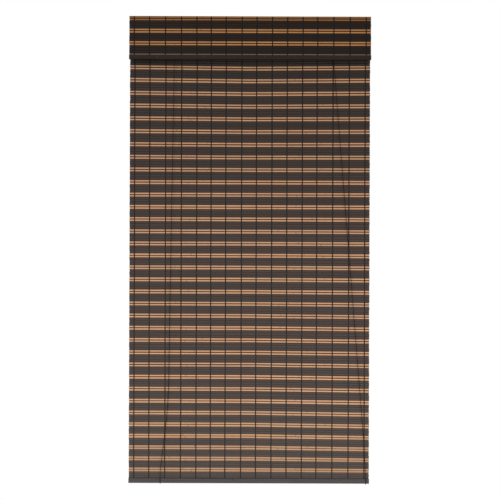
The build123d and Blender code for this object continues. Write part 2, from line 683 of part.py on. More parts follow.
# Pressed brackets: a foot screwed under the headrail and two cheeks that hold the pins
def bracket(left, right, y, half_gap, pins, screw_x):
    """A bracket whose cheeks run from left to right, with holes for (x, z, radius) pins."""
    half = half_gap + PLATE_THICKNESS
    foot_left = left - FOOT_LENGTH
    foot_right = right + FOOT_LENGTH
    cheek_bottom = min(z for _, z, _ in pins) - PLATE_BELOW_PIN
    with BuildPart() as plate:
        with BuildSketch(Plane.XY.offset(FOOT_UNDERSIDE)):
            with Locations(((foot_left + foot_right) / 2, y)):
                RectangleRounded(foot_right - foot_left, 2 * half, FOOT_CORNER)
        extrude(amount=PLATE_THICKNESS)
        for inner_face in (-half_gap, half_gap + PLATE_THICKNESS):
            with BuildSketch(Plane.XZ.offset(-y - inner_face)) as cheek:
                with Locations(((left + right) / 2, (FOOT_UNDERSIDE + cheek_bottom) / 2)):
                    Rectangle(right - left, FOOT_UNDERSIDE - cheek_bottom)
                fillet(cheek.vertices().group_by(Axis.Y)[0], PLATE_CORNER)
                for pin_x, pin_z, pin_radius in pins:
                    with Locations((pin_x, pin_z)):
                        Circle(pin_radius + PIN_SEAT_GAP, mode=Mode.SUBTRACT)
            extrude(amount=PLATE_THICKNESS)
        with Locations(*[Location((x, y, FOOT_UNDERSIDE), (180, 0, 0)) for x in screw_x]):
            CounterSinkHole(
                SCREW_RADIUS + SCREW_CLEARANCE,
                SCREW_HEAD_RADIUS + SCREW_CLEARANCE,
                depth=PLATE_THICKNESS,
                counter_sink_angle=90,
            )
    return plate


pulley_bracket = bracket(
    PULLEY_X - PLATE_BESIDE_PIN,
    PULLEY_X + PLATE_BESIDE_PIN,
    REAR_WHEEL_Y,
    PULLEY_HALF_GAP,
    [(PULLEY_X, WHEEL_Z, PIN_RADIUS)],
    PULLEY_SCREW_X,
)
save(pulley_bracket, "pulley_bracket")
lock_housing = bracket(
    LOCK_LEFT,
    LOCK_RIGHT,
    POCKET_MIDDLE,
    LOCK_HALF_GAP,
    [(-PULLEY_X, WHEEL_Z, PIN_RADIUS), (CAM_X, CAM_Z, CAM_PIN_RADIUS)],
    LOCK_SCREW_X,
)
save(lock_housing, "lock_housing")


# Countersunk wood screws, pointing up into the headrail
def bracket_screws(screw_x, y):
    """Screws with flush slotted heads, turned about the vertical."""
    tip = FOOT_UNDERSIDE + SCREW_LENGTH
    neck = FOOT_UNDERSIDE + SCREW_HEAD_RADIUS - SCREW_RADIUS
    with BuildPart() as screws:
        for x in screw_x:
            with BuildSketch(Plane(origin=(x, y, 0), x_dir=(1, 0, 0), z_dir=(0, -1, 0))):
                Polygon(
                    (0, FOOT_UNDERSIDE),
                    (SCREW_HEAD_RADIUS, FOOT_UNDERSIDE),
                    (SCREW_RADIUS, neck),
                    (SCREW_RADIUS, tip - SCREW_POINT),
                    (0, tip),
                    align=None,
                )
            revolve(axis=Axis((x, y, 0), (0, 0, 1)))
            with Locations((x, y, FOOT_UNDERSIDE)):
                Box(
                    2 * SCREW_HEAD_RADIUS,
                    SCREW_SLOT_WIDTH,
                    2 * SCREW_SLOT_DEPTH,
                    mode=Mode.SUBTRACT,
                )
    return screws


pulley_screws = bracket_screws(PULLEY_SCREW_X, REAR_WHEEL_Y)
save(pulley_screws, "pulley_screws")
lock_screws = bracket_screws(LOCK_SCREW_X, POCKET_MIDDLE)
save(lock_screws, "lock_screws")

# Cam of the cord lock: hangs from its pin, and its teeth grip the cords when it swings to them
with BuildPart() as lock_cam:
    with BuildSketch(Plane.XZ.offset(-POCKET_MIDDLE)) as cam_outline:
        with Locations((CAM_X, CAM_Z)):
            Circle(CAM_HUB_RADIUS)
        with Locations((CAM_X, CAM_Z - CAM_ARM)):
            Circle(CAM_TIP_RADIUS)
        make_hull()
        with Locations((CAM_X, CAM_Z)):
            Circle(CAM_PIN_RADIUS + PIN_RUNNING_GAP, mode=Mode.SUBTRACT)
        for tooth in range(CAM_TOOTH_COUNT):
            tooth_z = CAM_Z - CAM_ARM + tooth * CAM_TOOTH_PITCH
            flank = CAM_TIP_RADIUS + (CAM_HUB_RADIUS - CAM_TIP_RADIUS) * tooth * CAM_TOOTH_PITCH / CAM_ARM
            with Locations((CAM_X + flank, tooth_z)):
                Polygon(
                    (-CAM_TOOTH_DEPTH, 0),
                    (CAM_TOOTH_DEPTH, CAM_TOOTH_DEPTH / 2),
                    (CAM_TOOTH_DEPTH, -CAM_TOOTH_DEPTH / 2),
                    align=None,
                    mode=Mode.SUBTRACT,
                )
    extrude(amount=LOCK_HALF_GAP - CAM_SIDE_GAP, both=True)
save(lock_cam, "lock_cam")

# Wire guide: a staple driven into the headrail's underside, round the right cord's long run
with BuildPart() as cord_guide:
    with BuildLine() as staple:
        FilletPolyline(
            (0, REAR_WHEEL_Y - GUIDE_HALF_WIDTH, HEADRAIL_BOTTOM + GUIDE_BITE),
            (0, REAR_WHEEL_Y - GUIDE_HALF_WIDTH, GUIDE_Z),
            (0, REAR_WHEEL_Y + GUIDE_HALF_WIDTH, GUIDE_Z),
            (0, REAR_WHEEL_Y + GUIDE_HALF_WIDTH, HEADRAIL_BOTTOM + GUIDE_BITE),
            radius=GUIDE_HALF_WIDTH / 2,
        )
    with BuildSketch(Plane(origin=staple.line @ 0, z_dir=staple.line % 0)):
        Circle(GUIDE_WIRE_RADIUS)
    sweep()
save(cord_guide, "cord_guide")


# Lift cords: straight runs joined by tangent arcs
def arc_radii(route, tight):
    """One radius for each corner: its own where the cord is tight, else as large as its runs allow."""
    radii = []
    for i in range(1, len(route) - 1):
        before = Vector(route[i]) - Vector(route[i - 1])
        after = Vector(route[i + 1]) - Vector(route[i])
        half_turn = math.radians(before.get_angle(after)) / 2
        widest = BEND_RUN_SHARE * min(before.length, after.length) / math.tan(half_turn)
        radii.append(tight.get(i, widest))
    return radii


def lift_cord(name, route, tight):
    """A round cord along its route; prints its arcs and how its volume compares with its length."""
    radii = arc_radii(route, tight)
    with BuildPart() as cord:
        with BuildLine() as path:
            FilletPolyline(*route, radius=radii)
        with BuildSketch(Plane(origin=path.line @ 0, z_dir=path.line % 0)):
            Circle(CORD_RADIUS)
        sweep()
    length = path.wire().length
    expected = math.pi * CORD_RADIUS**2 * length
    print(name, "length", round(length, 1), "radii", [round(r, 1) for r in radii])
    print(name, "volume over section times length", round(cord.part.volume / expected, 4))
    return cord


left_lift_cord = lift_cord("left_lift_cord", LEFT_ROUTE, LEFT_TIGHT)
save(left_lift_cord, "left_lift_cord")
right_lift_cord = lift_cord("right_lift_cord", RIGHT_ROUTE, RIGHT_TIGHT)
save(right_lift_cord, "right_lift_cord")


# Put-away pull ends: the outer shape of a folded hank, with the cord's lead-in and lead-out
def pull_hank(y):
    """A hank behind the valance whose first fold continues the cord that comes off its wheel."""
    with BuildPart() as hank:
        with BuildSketch(Plane.XZ.offset(-y)):
            with Locations(Location((HANK_X, HANK_Z), 90)):
                SlotCenterToCenter(HANK_RUN, 2 * HANK_OUTER)
        extrude(amount=HANK_DEPTH / 2, both=True)
        with BuildSketch(Plane.XY.offset(HANK_TOP + HANK_LEAD_IN)):
            with Locations((TAIL_X, y)):
                Circle(CORD_RADIUS)
        extrude(amount=-HANK_LEAD_IN - HANK_OUTER)
        with BuildSketch(Plane.XY.offset(HANK_BOTTOM - HANK_LEAD_OUT)):
            with Locations((HANK_X, y)):
                Circle(CORD_RADIUS)
        extrude(amount=HANK_LEAD_OUT + HANK_OUTER)
    return hank


left_pull_hank = pull_hank(FRONT_WHEEL_Y)
save(left_pull_hank, "left_pull_hank")
right_pull_hank = pull_hank(REAR_WHEEL_Y)
save(right_pull_hank, "right_pull_hank")

with BuildPart() as hank_tie:
    with BuildSketch(Plane.XY.offset(HANK_Z)):
        with Locations((HANK_X, POCKET_MIDDLE)):
            tie_length = 2 * (HANK_OUTER + HANK_EASE)
            tie_depth = 2 * (WHEEL_STEP + HANK_EASE) + HANK_DEPTH
            Rectangle(tie_length + 2 * TIE_THICKNESS, tie_depth + 2 * TIE_THICKNESS)
            Rectangle(tie_length, tie_depth, mode=Mode.SUBTRACT)
    extrude(amount=TIE_HEIGHT / 2, both=True)
save(hank_tie, "hank_tie")


# Knots: rounded lumps with flat ends, on the rear lath and at the pull ends
def knots(places, height):
    """Knots whose flat undersides lie at the (x, y, z) places; a negative height hangs them."""
    with BuildPart() as lumps:
        for x, y, z in places:
            with BuildSketch(Plane.XY.offset(z)):
                with Locations((x, y)):
                    Circle(KNOT_RADIUS)
            extrude(amount=height)
        rims = lumps.edges().filter_by(GeomType.CIRCLE)
        fillet(rims, KNOT_EDGE)
    return lumps


anchor_knots = knots(
    [(-PULLEY_X, MAT_BACK / 2, HEADRAIL_TOP), (PULLEY_X, MAT_BACK / 2, HEADRAIL_TOP)],
    KNOT_HEIGHT,
)
save(anchor_knots, "anchor_knots")
KNOT_Z = HANK_BOTTOM - HANK_LEAD_OUT
pull_cord_knots = knots(
    [(HANK_X, FRONT_WHEEL_Y, KNOT_Z), (HANK_X, REAR_WHEEL_Y, KNOT_Z)],
    -KNOT_HEIGHT,
)
save(pull_cord_knots, "pull_cord_knots")
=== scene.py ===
import math

import bpy
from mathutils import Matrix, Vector


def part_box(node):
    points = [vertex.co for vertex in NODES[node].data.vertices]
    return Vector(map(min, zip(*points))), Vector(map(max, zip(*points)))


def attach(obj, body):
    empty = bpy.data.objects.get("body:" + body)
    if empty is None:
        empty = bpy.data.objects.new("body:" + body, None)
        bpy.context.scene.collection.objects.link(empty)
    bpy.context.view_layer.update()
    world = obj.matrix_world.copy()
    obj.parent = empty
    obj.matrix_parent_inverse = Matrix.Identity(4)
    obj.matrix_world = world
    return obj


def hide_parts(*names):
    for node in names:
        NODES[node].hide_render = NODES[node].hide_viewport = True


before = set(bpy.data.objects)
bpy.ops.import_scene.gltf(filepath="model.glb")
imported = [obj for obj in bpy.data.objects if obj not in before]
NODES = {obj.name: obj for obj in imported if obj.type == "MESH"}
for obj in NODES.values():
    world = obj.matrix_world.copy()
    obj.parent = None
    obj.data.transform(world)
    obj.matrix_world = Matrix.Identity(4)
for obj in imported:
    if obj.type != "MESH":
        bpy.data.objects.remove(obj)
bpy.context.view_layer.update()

# The looks of a bamboo roll-up blind, in metres, in the frame of its solids: the wall is y = 0,
# the blind faces -Y and hangs down along -Z.

MM = 0.001
BLIND = "blind"
SCENE = bpy.context.scene
SEED = 7


# Small helpers for pieces
def add_object(name, data):
    """A new object at the origin that shows the data."""
    piece = bpy.data.objects.new(name, data)
    SCENE.collection.objects.link(piece)
    return piece


def finish_piece(piece, slot, *nodes):
    """Rides a piece on the blind and lets it stand for its nodes; the slot is not used."""
    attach(piece, BLIND)
    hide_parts(*nodes)
    return piece


# Camera, straight in front of the mat and level with its middle
MAT_FACE_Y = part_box("natural_slats")[0].y
FRAME_WIDTH = 1.902
LENS = 68.0
SENSOR = 36.0
CAMERA_X = 0.0020
CAMERA_Z = -0.8664
CAMERA_ROLL_DEG = 0.2


def front_camera():
    """A camera that looks along Y, a little rolled, and sees the frame's width at the mat's face."""
    data = bpy.data.cameras.new("camera")
    data.lens = LENS
    data.sensor_width = SENSOR
    camera = add_object("camera", data)
    camera.location = (CAMERA_X, MAT_FACE_Y - FRAME_WIDTH * LENS / SENSOR, CAMERA_Z)
    camera.rotation_euler = (math.radians(90), math.radians(-CAMERA_ROLL_DEG), 0)
    SCENE.camera = camera


front_camera()


# Nodes, of materials and of geometry alike
def add_node(tree, kind, values=(), **settings):
    """A node with its settings and its inputs: a value, or a socket to link from."""
    node = tree.nodes.new(kind)
    for key, value in settings.items():
        setattr(node, key, value)
    for key, value in dict(values).items():
        if isinstance(value, bpy.types.NodeSocket):
            tree.links.new(value, node.inputs[key])
        else:
            node.inputs[key].default_value = value
    return node


def maths(tree, operation, first, second=0.0, third=0.0):
    """One sum of up to three values or sockets."""
    values = {0: first, 1: second, 2: third}
    return add_node(tree, "ShaderNodeMath", values, operation=operation).outputs[0]


def product(tree, first, *factors):
    """All the values or sockets multiplied."""
    result = first
    for factor in factors:
        result = maths(tree, "MULTIPLY", result, factor)
    return result


def parts_of(tree, vector):
    """The X, Y and Z sockets of a vector."""
    return add_node(tree, "ShaderNodeSeparateXYZ", {"Vector": vector}).outputs


def vector_of(tree, **parts):
    """A vector from its parts; those left out are 0."""
    return add_node(tree, "ShaderNodeCombineXYZ", parts).outputs["Vector"]


def ramp(tree, value, low, high, to_low=0.0, to_high=1.0):
    """A value carried from one range to another and held at its ends."""
    ends = {"From Min": low, "From Max": high, "To Min": to_low, "To Max": to_high}
    return add_node(tree, "ShaderNodeMapRange", {"Value": value, **ends}).outputs["Result"]


# Parts of materials; most of any noise lies in the band
STREAK_ROUGHNESS = 0.6
NOISE_BAND = (0.3, 0.7)


def new_material(name):
    """A procedural material, its node tree and its principled shader."""
    material = bpy.data.materials.new(name)
    material.use_nodes = True
    return material, material.node_tree, material.node_tree.nodes["Principled BSDF"]


def linear(red, green, blue):
    """A colour given as it looks on a screen, 0 to 255, as the shader's linear colour."""
    parts = []
    for value in (red, green, blue):
        share = value / 255
        parts.append(share / 12.92 if share <= 0.04045 else ((share + 0.055) / 1.055) ** 2.4)
    return (*parts, 1.0)


def mix_colour(tree, share, first, second, how="MIX"):
    """Two colours mixed by a share; each may be a socket or a colour.

    The mixer's sockets for colours have numbers, because their names come more than once."""
    values = {0: share, 6: first, 7: second}
    return add_node(tree, "ShaderNodeMix", values, data_type="RGBA", blend_type=how).outputs[2]


def object_place(tree):
    """Places on the piece, in metres."""
    return add_node(tree, "ShaderNodeTexCoord").outputs["Object"]


def object_height(tree):
    """Heights on the piece, in metres."""
    return parts_of(tree, object_place(tree))["Z"]


def slat_value(tree, name):
    """A value that the slats carry with them."""
    return add_node(tree, "ShaderNodeAttribute", attribute_name=name).outputs["Fac"]


def streaks(tree, along, across, detail):
    """Noise stretched along X, for fibres and grain; scales are in turns per metre."""
    scale = (along, across, across)
    mapping = add_node(tree, "ShaderNodeMapping", {"Vector": object_place(tree), "Scale": scale})
    values = {"Scale": 1.0, "Detail": detail, "Roughness": STREAK_ROUGHNESS}
    noise = add_node(tree, "ShaderNodeTexNoise", {"Vector": mapping.outputs["Vector"], **values})
    return noise.outputs["Fac"]


def mottle(tree, scale, detail):
    """Even noise, for cloudy surfaces."""
    values = {"Vector": object_place(tree), "Scale": scale, "Detail": detail}
    return add_node(tree, "ShaderNodeTexNoise", values).outputs["Fac"]


def bump(tree, shader, height, depth, strength):
    """Roughens the shader's surface by a height field."""
    values = {"Height": height, "Distance": depth, "Strength": strength}
    node = add_node(tree, "ShaderNodeBump", values)
    tree.links.new(node.outputs["Normal"], shader.inputs["Normal"])


def down_the_drop(tree, stations):
    """A colour that changes with height through (height, colour) stations, from the top down."""
    top = stations[0][0]
    bottom = stations[-1][0]
    share = ramp(tree, object_height(tree), top, bottom)
    node = add_node(tree, "ShaderNodeValToRGB", {"Fac": share})
    elements = node.color_ramp.elements
    for _ in range(len(stations) - len(elements)):
        elements.new(1.0)
    for element, (level, colour) in zip(elements, stations):
        element.position = (top - level) / (top - bottom)
        element.color = colour
    return node.outputs["Color"]


# Slat bamboo; streaks are turns per metre along and across the slat, and detail
FIBRE_STREAKS = (6.0, 1400.0, 3.0)
FIBRE_SHADES = (0.79, 1.19)
FIBRE_ROUGHNESS = (0.42, 0.56)
FIBRE_DEPTH = 0.15 * MM
FIBRE_BUMP = 0.5
FLECK_STREAKS = (40.0, 2400.0, 1.0)
FLECK_BAND = (0.58, 0.70)
FLECK_STRENGTH = 0.4
PATCH_STREAKS = (5.0, 110.0, 2.0)
TONE_SHADES = (0.91, 1.10)
KNUCKLE_LINE_START = 0.75
KNUCKLE_LINE_STRENGTH = 0.45
# How softly the painted shade in the grooves sets in
GROOVE_SHADE_SOFTNESS = 0.2


def bamboo(name, faces, mark_and_shade_tint, warm, gloss):
    """Slat bamboo: long fibres and flecks, tones of each slat's own, dark knuckles and painted shade
    in the grooves.

    The faces are (height, colour) stations, which hold painted light and shade down the drop; the
    tint darkens flecks and knuckles, and paints shade into the grooves beyond the face's share of
    the slat's width."""
    material, tree, shader = new_material(name)
    tone = slat_value(tree, "slat_tone")
    fibre = streaks(tree, *FIBRE_STREAKS)
    fleck = streaks(tree, *FLECK_STREAKS)
    patch = streaks(tree, *PATCH_STREAKS)
    warmth = product(tree, tone, ramp(tree, patch, *NOISE_BAND))
    colour = mix_colour(tree, warmth, down_the_drop(tree, faces), warm, "MULTIPLY")
    shade = ramp(tree, fibre, *NOISE_BAND, *FIBRE_SHADES)
    light = product(tree, shade, ramp(tree, tone, 0.0, 1.0, *TONE_SHADES))
    grey = add_node(tree, "ShaderNodeCombineColor", {"Red": light, "Green": light, "Blue": light})
    colour = mix_colour(tree, 1.0, colour, grey.outputs["Color"], "MULTIPLY")
    knuckle = slat_value(tree, "knuckle")
    side = maths(tree, "ABSOLUTE", slat_value(tree, "across"))
    past_face = maths(tree, "SUBTRACT", side, slat_value(tree, "unshaded_share"))
    for dark_share in (
        ramp(tree, fleck, *FLECK_BAND, 0.0, FLECK_STRENGTH),
        ramp(tree, knuckle, KNUCKLE_LINE_START, 1.0, 0.0, KNUCKLE_LINE_STRENGTH),
        # Painted shade in the grooves, past each slat's unshaded share
        ramp(tree, past_face, -GROOVE_SHADE_SOFTNESS, 0.0),
    ):
        colour = mix_colour(tree, dark_share, colour, mark_and_shade_tint, "MULTIPLY")
    tree.links.new(colour, shader.inputs["Base Color"])
    tree.links.new(ramp(tree, fibre, *NOISE_BAND, *FIBRE_ROUGHNESS), shader.inputs["Roughness"])
    shader.inputs["Specular IOR Level"].default_value = gloss
    bump(tree, shader, fibre, FIBRE_DEPTH, FIBRE_BUMP)
    return material


# Planed wood
GRAIN_STREAKS = (5.0, 420.0, 4.0)
GRAIN_BAND = (0.35, 0.7)
GRAIN_ROUGHENING = 0.14
GRAIN_DEPTH = 0.2 * MM
GRAIN_BUMP = 0.4
BROAD_STREAKS = (2.0, 60.0, 2.0)
BROAD_BAND = (0.35, 0.75)
BROAD_STRENGTH = 0.35


def lath_wood(name, face, dark, gloss, rough):
    """Planed wood with long grain along the lath."""
    material, tree, shader = new_material(name)
    grain = streaks(tree, *GRAIN_STREAKS)
    broad = streaks(tree, *BROAD_STREAKS)
    colour = mix_colour(tree, ramp(tree, grain, *GRAIN_BAND), face, dark)
    colour = mix_colour(tree, ramp(tree, broad, *BROAD_BAND, 0.0, BROAD_STRENGTH), colour, dark)
    tree.links.new(colour, shader.inputs["Base Color"])
    roughness = ramp(tree, grain, *NOISE_BAND, rough, rough + GRAIN_ROUGHENING)
    tree.links.new(roughness, shader.inputs["Roughness"])
    shader.inputs["Specular IOR Level"].default_value = gloss
    bump(tree, shader, grain, GRAIN_DEPTH, GRAIN_BUMP)
    return material


# Threads and cords; plies are turns per metre
PLY_SLANT = (0.5, 0.6, 0.4)
PLY_WANDER = 2.0
PLY_DETAIL = 2.0
PLY_DEPTH = 0.15 * MM
PLY_BUMP = 0.6
SPUN_ROUGHNESS = 0.85
SPUN_GLOSS = 0.2
THREAD_PLIES = 900.0
CORD_PLIES = 700.0


def spun(name, colour, light, pitch, lower_sheen=None):
    """Spun thread or braided cord: slanted plies and a matt surface.

    Where a paler colour is given, the thread turns to it towards the foot of the mat, as painted
    sheen."""
    material, tree, shader = new_material(name)
    place = {"Vector": object_place(tree), "Rotation": PLY_SLANT}
    slanted = add_node(tree, "ShaderNodeMapping", place).outputs["Vector"]
    values = {"Scale": pitch, "Distortion": PLY_WANDER, "Detail": PLY_DETAIL}
    plies = add_node(tree, "ShaderNodeTexWave", {"Vector": slanted, **values}).outputs["Fac"]
    tint = mix_colour(tree, plies, colour, light)
    if lower_sheen:
        share = ramp(tree, object_height(tree), VALANCE_BOTTOM_Z, MAT_BOTTOM_Z)
        tint = mix_colour(tree, share, tint, lower_sheen)
    tree.links.new(tint, shader.inputs["Base Color"])
    shader.inputs["Roughness"].default_value = SPUN_ROUGHNESS
    shader.inputs["Specular IOR Level"].default_value = SPUN_GLOSS
    bump(tree, shader, plies, PLY_DEPTH, PLY_BUMP)
    return material


# Hardware; clouds and skin are turns per metre, and detail
STEEL_CLOUDS = (220.0, 4.0)
STEEL_ROUGHENING = 0.15
STEEL_DEPTH = 0.05 * MM
STEEL_BUMP = 0.2
PLASTIC_SKIN = (600.0, 3.0)
PLASTIC_ROUGHNESS = (0.35, 0.48)
PLASTIC_DEPTH = 0.05 * MM
PLASTIC_BUMP = 0.15


def plated_steel(name, colour, dull, rough, metal):
    """Pressed and plated steel with a faint cloudiness."""
    material, tree, shader = new_material(name)
    cloud = mottle(tree, *STEEL_CLOUDS)
    tree.links.new(mix_colour(tree, cloud, colour, dull), shader.inputs["Base Color"])
    roughness = ramp(tree, cloud, *NOISE_BAND, rough, rough + STEEL_ROUGHENING)
    tree.links.new(roughness, shader.inputs["Roughness"])
    shader.inputs["Metallic"].default_value = metal
    bump(tree, shader, cloud, STEEL_DEPTH, STEEL_BUMP)
    return material


def moulded_plastic(name, colour, shade):
    """Moulded plastic with a fine, slightly glossy skin."""
    material, tree, shader = new_material(name)
    skin = mottle(tree, *PLASTIC_SKIN)
    tree.links.new(mix_colour(tree, skin, colour, shade), shader.inputs["Base Color"])
    tree.links.new(ramp(tree, skin, *NOISE_BAND, *PLASTIC_ROUGHNESS), shader.inputs["Roughness"])
    bump(tree, shader, skin, PLASTIC_DEPTH, PLASTIC_BUMP)
    return material


# Heights at which the colours change, and runs: of the fold's painted shade, of the painted shade
# and painted light beside the valance's lath, to where the mat is clear of that shade, and of the
# mat's foot
MAT_TOP_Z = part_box("natural_slats")[1].z
MAT_BOTTOM_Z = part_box("bottom_lath")[0].z
MAT_MIDDLE_Z = (MAT_TOP_Z + MAT_BOTTOM_Z) / 2
VALANCE_TOP_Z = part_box("valance_natural_slats")[1].z
VALANCE_BOTTOM_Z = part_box("valance_lath")[0].z
VALANCE_LATH_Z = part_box("valance_lath")[1].z
FOLD_RUN = 17 * MM
SHADED_RUN = 8 * MM
CLEAR_RUN = 30 * MM
FOOT_RUN = 330 * MM

# Tints that the slats' faces are multiplied with: for flecks, knuckles and the painted shade in the
# grooves, and for warm patches
NATURAL_MARK_AND_SHADE_TINT = (0.15, 0.065, 0.02, 1.0)
DARK_MARK_AND_SHADE_TINT = (0.72, 0.69, 0.67, 1.0)
ORANGE = (1.0, 0.86, 0.74, 1.0)
REDDISH = (1.0, 0.9, 0.88, 1.0)

# The mat's slats hold painted light and shade down the drop: painted shade deepens them behind the
# valance, and painted sheen and light make them paler lower down; the light ones are made darker
# again at the foot
NATURAL = bamboo(
    "natural_bamboo",
    [
        (MAT_TOP_Z, linear(168, 130, 94)),
        (VALANCE_BOTTOM_Z, linear(177, 140, 104)),
        (MAT_MIDDLE_Z, linear(200, 158, 123)),
        (MAT_BOTTOM_Z + FOOT_RUN, linear(214, 172, 136)),
        (MAT_BOTTOM_Z, linear(192, 152, 116)),
    ],
    NATURAL_MARK_AND_SHADE_TINT,
    ORANGE,
    gloss=0.3,
)
DARK = bamboo(
    "dark_bamboo",
    [
        (MAT_TOP_Z, linear(32, 24, 21)),
        # Painted light: paler just below the valance, lifting the shadow that the valance casts there
        (VALANCE_BOTTOM_Z - SHADED_RUN, linear(50, 41, 37)),
        (VALANCE_BOTTOM_Z - CLEAR_RUN, linear(42, 34, 30)),
        (MAT_MIDDLE_Z, linear(69, 59, 55)),
        (MAT_BOTTOM_Z, linear(87, 79, 75)),
    ],
    DARK_MARK_AND_SHADE_TINT,
    REDDISH,
    gloss=0.16,
)

# Painted shade on the valance's light slats: darker at the fold, greyer on the last one by the lath
FOLD_SHADE_TAN = linear(132, 92, 52)
VALANCE_TAN = linear(165, 124, 82)
LATH_SHADE_TAN = linear(116, 96, 82)
VALANCE_BLACK = linear(33, 26, 22)
VALANCE_NATURAL = bamboo(
    "valance_natural_bamboo",
    [
        (VALANCE_TOP_Z, FOLD_SHADE_TAN),
        (VALANCE_TOP_Z - FOLD_RUN, FOLD_SHADE_TAN),
        (VALANCE_TOP_Z - 2 * FOLD_RUN, VALANCE_TAN),
        (VALANCE_LATH_Z + SHADED_RUN, VALANCE_TAN),
        (VALANCE_LATH_Z + SHADED_RUN / 2, LATH_SHADE_TAN),
        (VALANCE_BOTTOM_Z, LATH_SHADE_TAN),
    ],
    NATURAL_MARK_AND_SHADE_TINT,
    ORANGE,
    gloss=0.08,
)
VALANCE_DARK = bamboo(
    "valance_dark_bamboo",
    [(VALANCE_TOP_Z, VALANCE_BLACK), (VALANCE_BOTTOM_Z, VALANCE_BLACK)],
    DARK_MARK_AND_SHADE_TINT,
    REDDISH,
    gloss=0.08,
)

DARK_LATH = lath_wood(
    "dark_lath_wood", linear(37, 27, 23), linear(27, 19, 16), gloss=0.12, rough=0.5
)
FOLD_SLATS = lath_wood(
    "fold_slat_bamboo", linear(30, 23, 20), linear(22, 17, 15), gloss=0.1, rough=0.45
)
# Painted sheen: the bottom lath is as pale as the mat's dark slats at its foot, paler than the
# valance's lath
BOTTOM_LATH_WITH_SHEEN = lath_wood(
    "bottom_lath_wood_with_sheen", linear(86, 81, 80), linear(68, 63, 62), gloss=0.25, rough=0.5
)
RAW_WOOD = lath_wood(
    "raw_wood", linear(205, 172, 128), linear(176, 138, 92), gloss=0.25, rough=0.6
)
# Painted sheen: the threads turn paler towards the foot of the mat
LOWER_THREAD_SHEEN = linear(54, 47, 43)
THREAD = spun("black_thread", linear(8, 6, 5), linear(16, 12, 11), THREAD_PLIES, LOWER_THREAD_SHEEN)
CORD = spun("dark_cord", linear(10, 8, 7), linear(19, 15, 13), CORD_PLIES)
ZINC = plated_steel(
    "zinc_steel", linear(205, 205, 202), linear(172, 173, 172), rough=0.28, metal=1.0
)
NAIL_STEEL = plated_steel(
    "nail_steel", linear(52, 45, 42), linear(36, 31, 29), rough=0.45, metal=0.6
)
WHEEL_PLASTIC = moulded_plastic("wheel_plastic", linear(228, 224, 212), linear(214, 209, 196))

# Finishes of the solids that show as they are
FINISHES = [
    (FOLD_SLATS, ["top_slats"]),
    (RAW_WOOD, ["headrail", "rear_lath"]),
    (DARK_LATH, ["valance_lath", "valance_back_lath"]),
    (BOTTOM_LATH_WITH_SHEEN, ["bottom_lath", "bottom_back_lath"]),
    (NAIL_STEEL, ["valance_lath_nails", "bottom_lath_nails", "valance_tacks"]),
    (ZINC, ["rear_lath_nails", "cord_guide"]),
    (ZINC, ["pulley_bracket", "pulley_pin", "pulley_screws"]),
    (ZINC, ["lock_housing", "lock_spacer", "lock_wheel_pin"]),
    (ZINC, ["lock_cam", "lock_cam_pin", "lock_screws"]),
    (WHEEL_PLASTIC, ["pulley_wheel", "lock_front_wheel", "lock_rear_wheel"]),
]
for finish, node_names in FINISHES:
    for node_name in node_names:
        NODES[node_name].data.materials.clear()
        NODES[node_name].data.materials.append(finish)


# Lift cords: their thickness and the route's points in millimetres, from the knot on the rear lath
# to the hank
CORD_DIAMETER = 2.0
CORD_ROUNDNESS = 2
CORD_SMOOTHNESS = 6
LEFT_ROUTE = [
    (-296.0, -4.0, 14.0),
    (-296.0, -4.0, -30.0),
    (-297.0, -4.0, -74.0),
    (-336.2, -2.4, -1744.0),
    (-336.5, -2.4, -1756.0),
    (-336.5, -18.6, -1756.0),
    (-336.4, -18.5, -1744.0),
    (-336.0, -18.2, -1700.0),
    (-324.0, -16.5, -1610.0),
    (-304.5, -15.0, -1425.0),
    (-304.2, -16.4, -1239.0),
    (-285.8, -25.4, -46.5),
    (-285.5, -25.6, -24.0),
    (-306.5, -25.6, -24.0),
    (-306.5, -25.6, -46.5),
    (-306.5, -25.6, -52.0),
]
RIGHT_ROUTE = [
    (296.0, -4.0, 14.0),
    (296.0, -4.0, -30.0),
    (299.8, -4.0, -74.0),
    (444.0, -2.4, -1744.0),
    (445.0, -2.4, -1756.0),
    (445.0, -18.6, -1756.0),
    (444.4, -18.6, -1744.0),
    (438.5, -18.4, -1618.0),
    (427.1, -18.4, -1480.5),
    (308.4, -18.4, -46.5),
    (306.5, -18.4, -24.0),
    (284.0, -18.4, -24.0),
    (-284.0, -18.4, -24.0),
    (-306.5, -18.4, -24.0),
    (-306.5, -18.4, -46.5),
    (-306.5, -18.4, -52.0),
]

# The put-away pull end of each cord, in millimetres: a hank of six folded turns in two layers, each
# turn with its radius and its shift in depth
HANK_X = -312.5
HANK_Z = -82.0
HANK_HALF_RUN = 18.0
HANK_INNER = 6.0
HANK_OUTER = 8.2
HANK_TURN_PITCH = 2.1
HANK_TURNS = [
    (HANK_INNER, 0.0),
    (HANK_INNER, -HANK_TURN_PITCH),
    (HANK_OUTER, -HANK_TURN_PITCH),
    (HANK_OUTER, 0.0),
    (HANK_INNER, HANK_TURN_PITCH),
    (HANK_OUTER, HANK_TURN_PITCH),
]
RUN_SHARES = (1.0, 1 / 3, -1 / 3, -1.0)
FOLD_STEPS = 5
FOLD_STEP = math.pi / FOLD_STEPS
FOLD_SPREAD = 1 / math.cos(FOLD_STEP / 2)

# The end of the cord under its hank, from the hank's middle
HANK_LEAD_OUT = [
    (6.4, 2.1, -23.0),
    (4.0, 2.1, -26.5),
    (0.6, 0.8, -29.0),
    (0.0, 0.0, -31.5),
    (0.0, 0.0, -33.5),
]


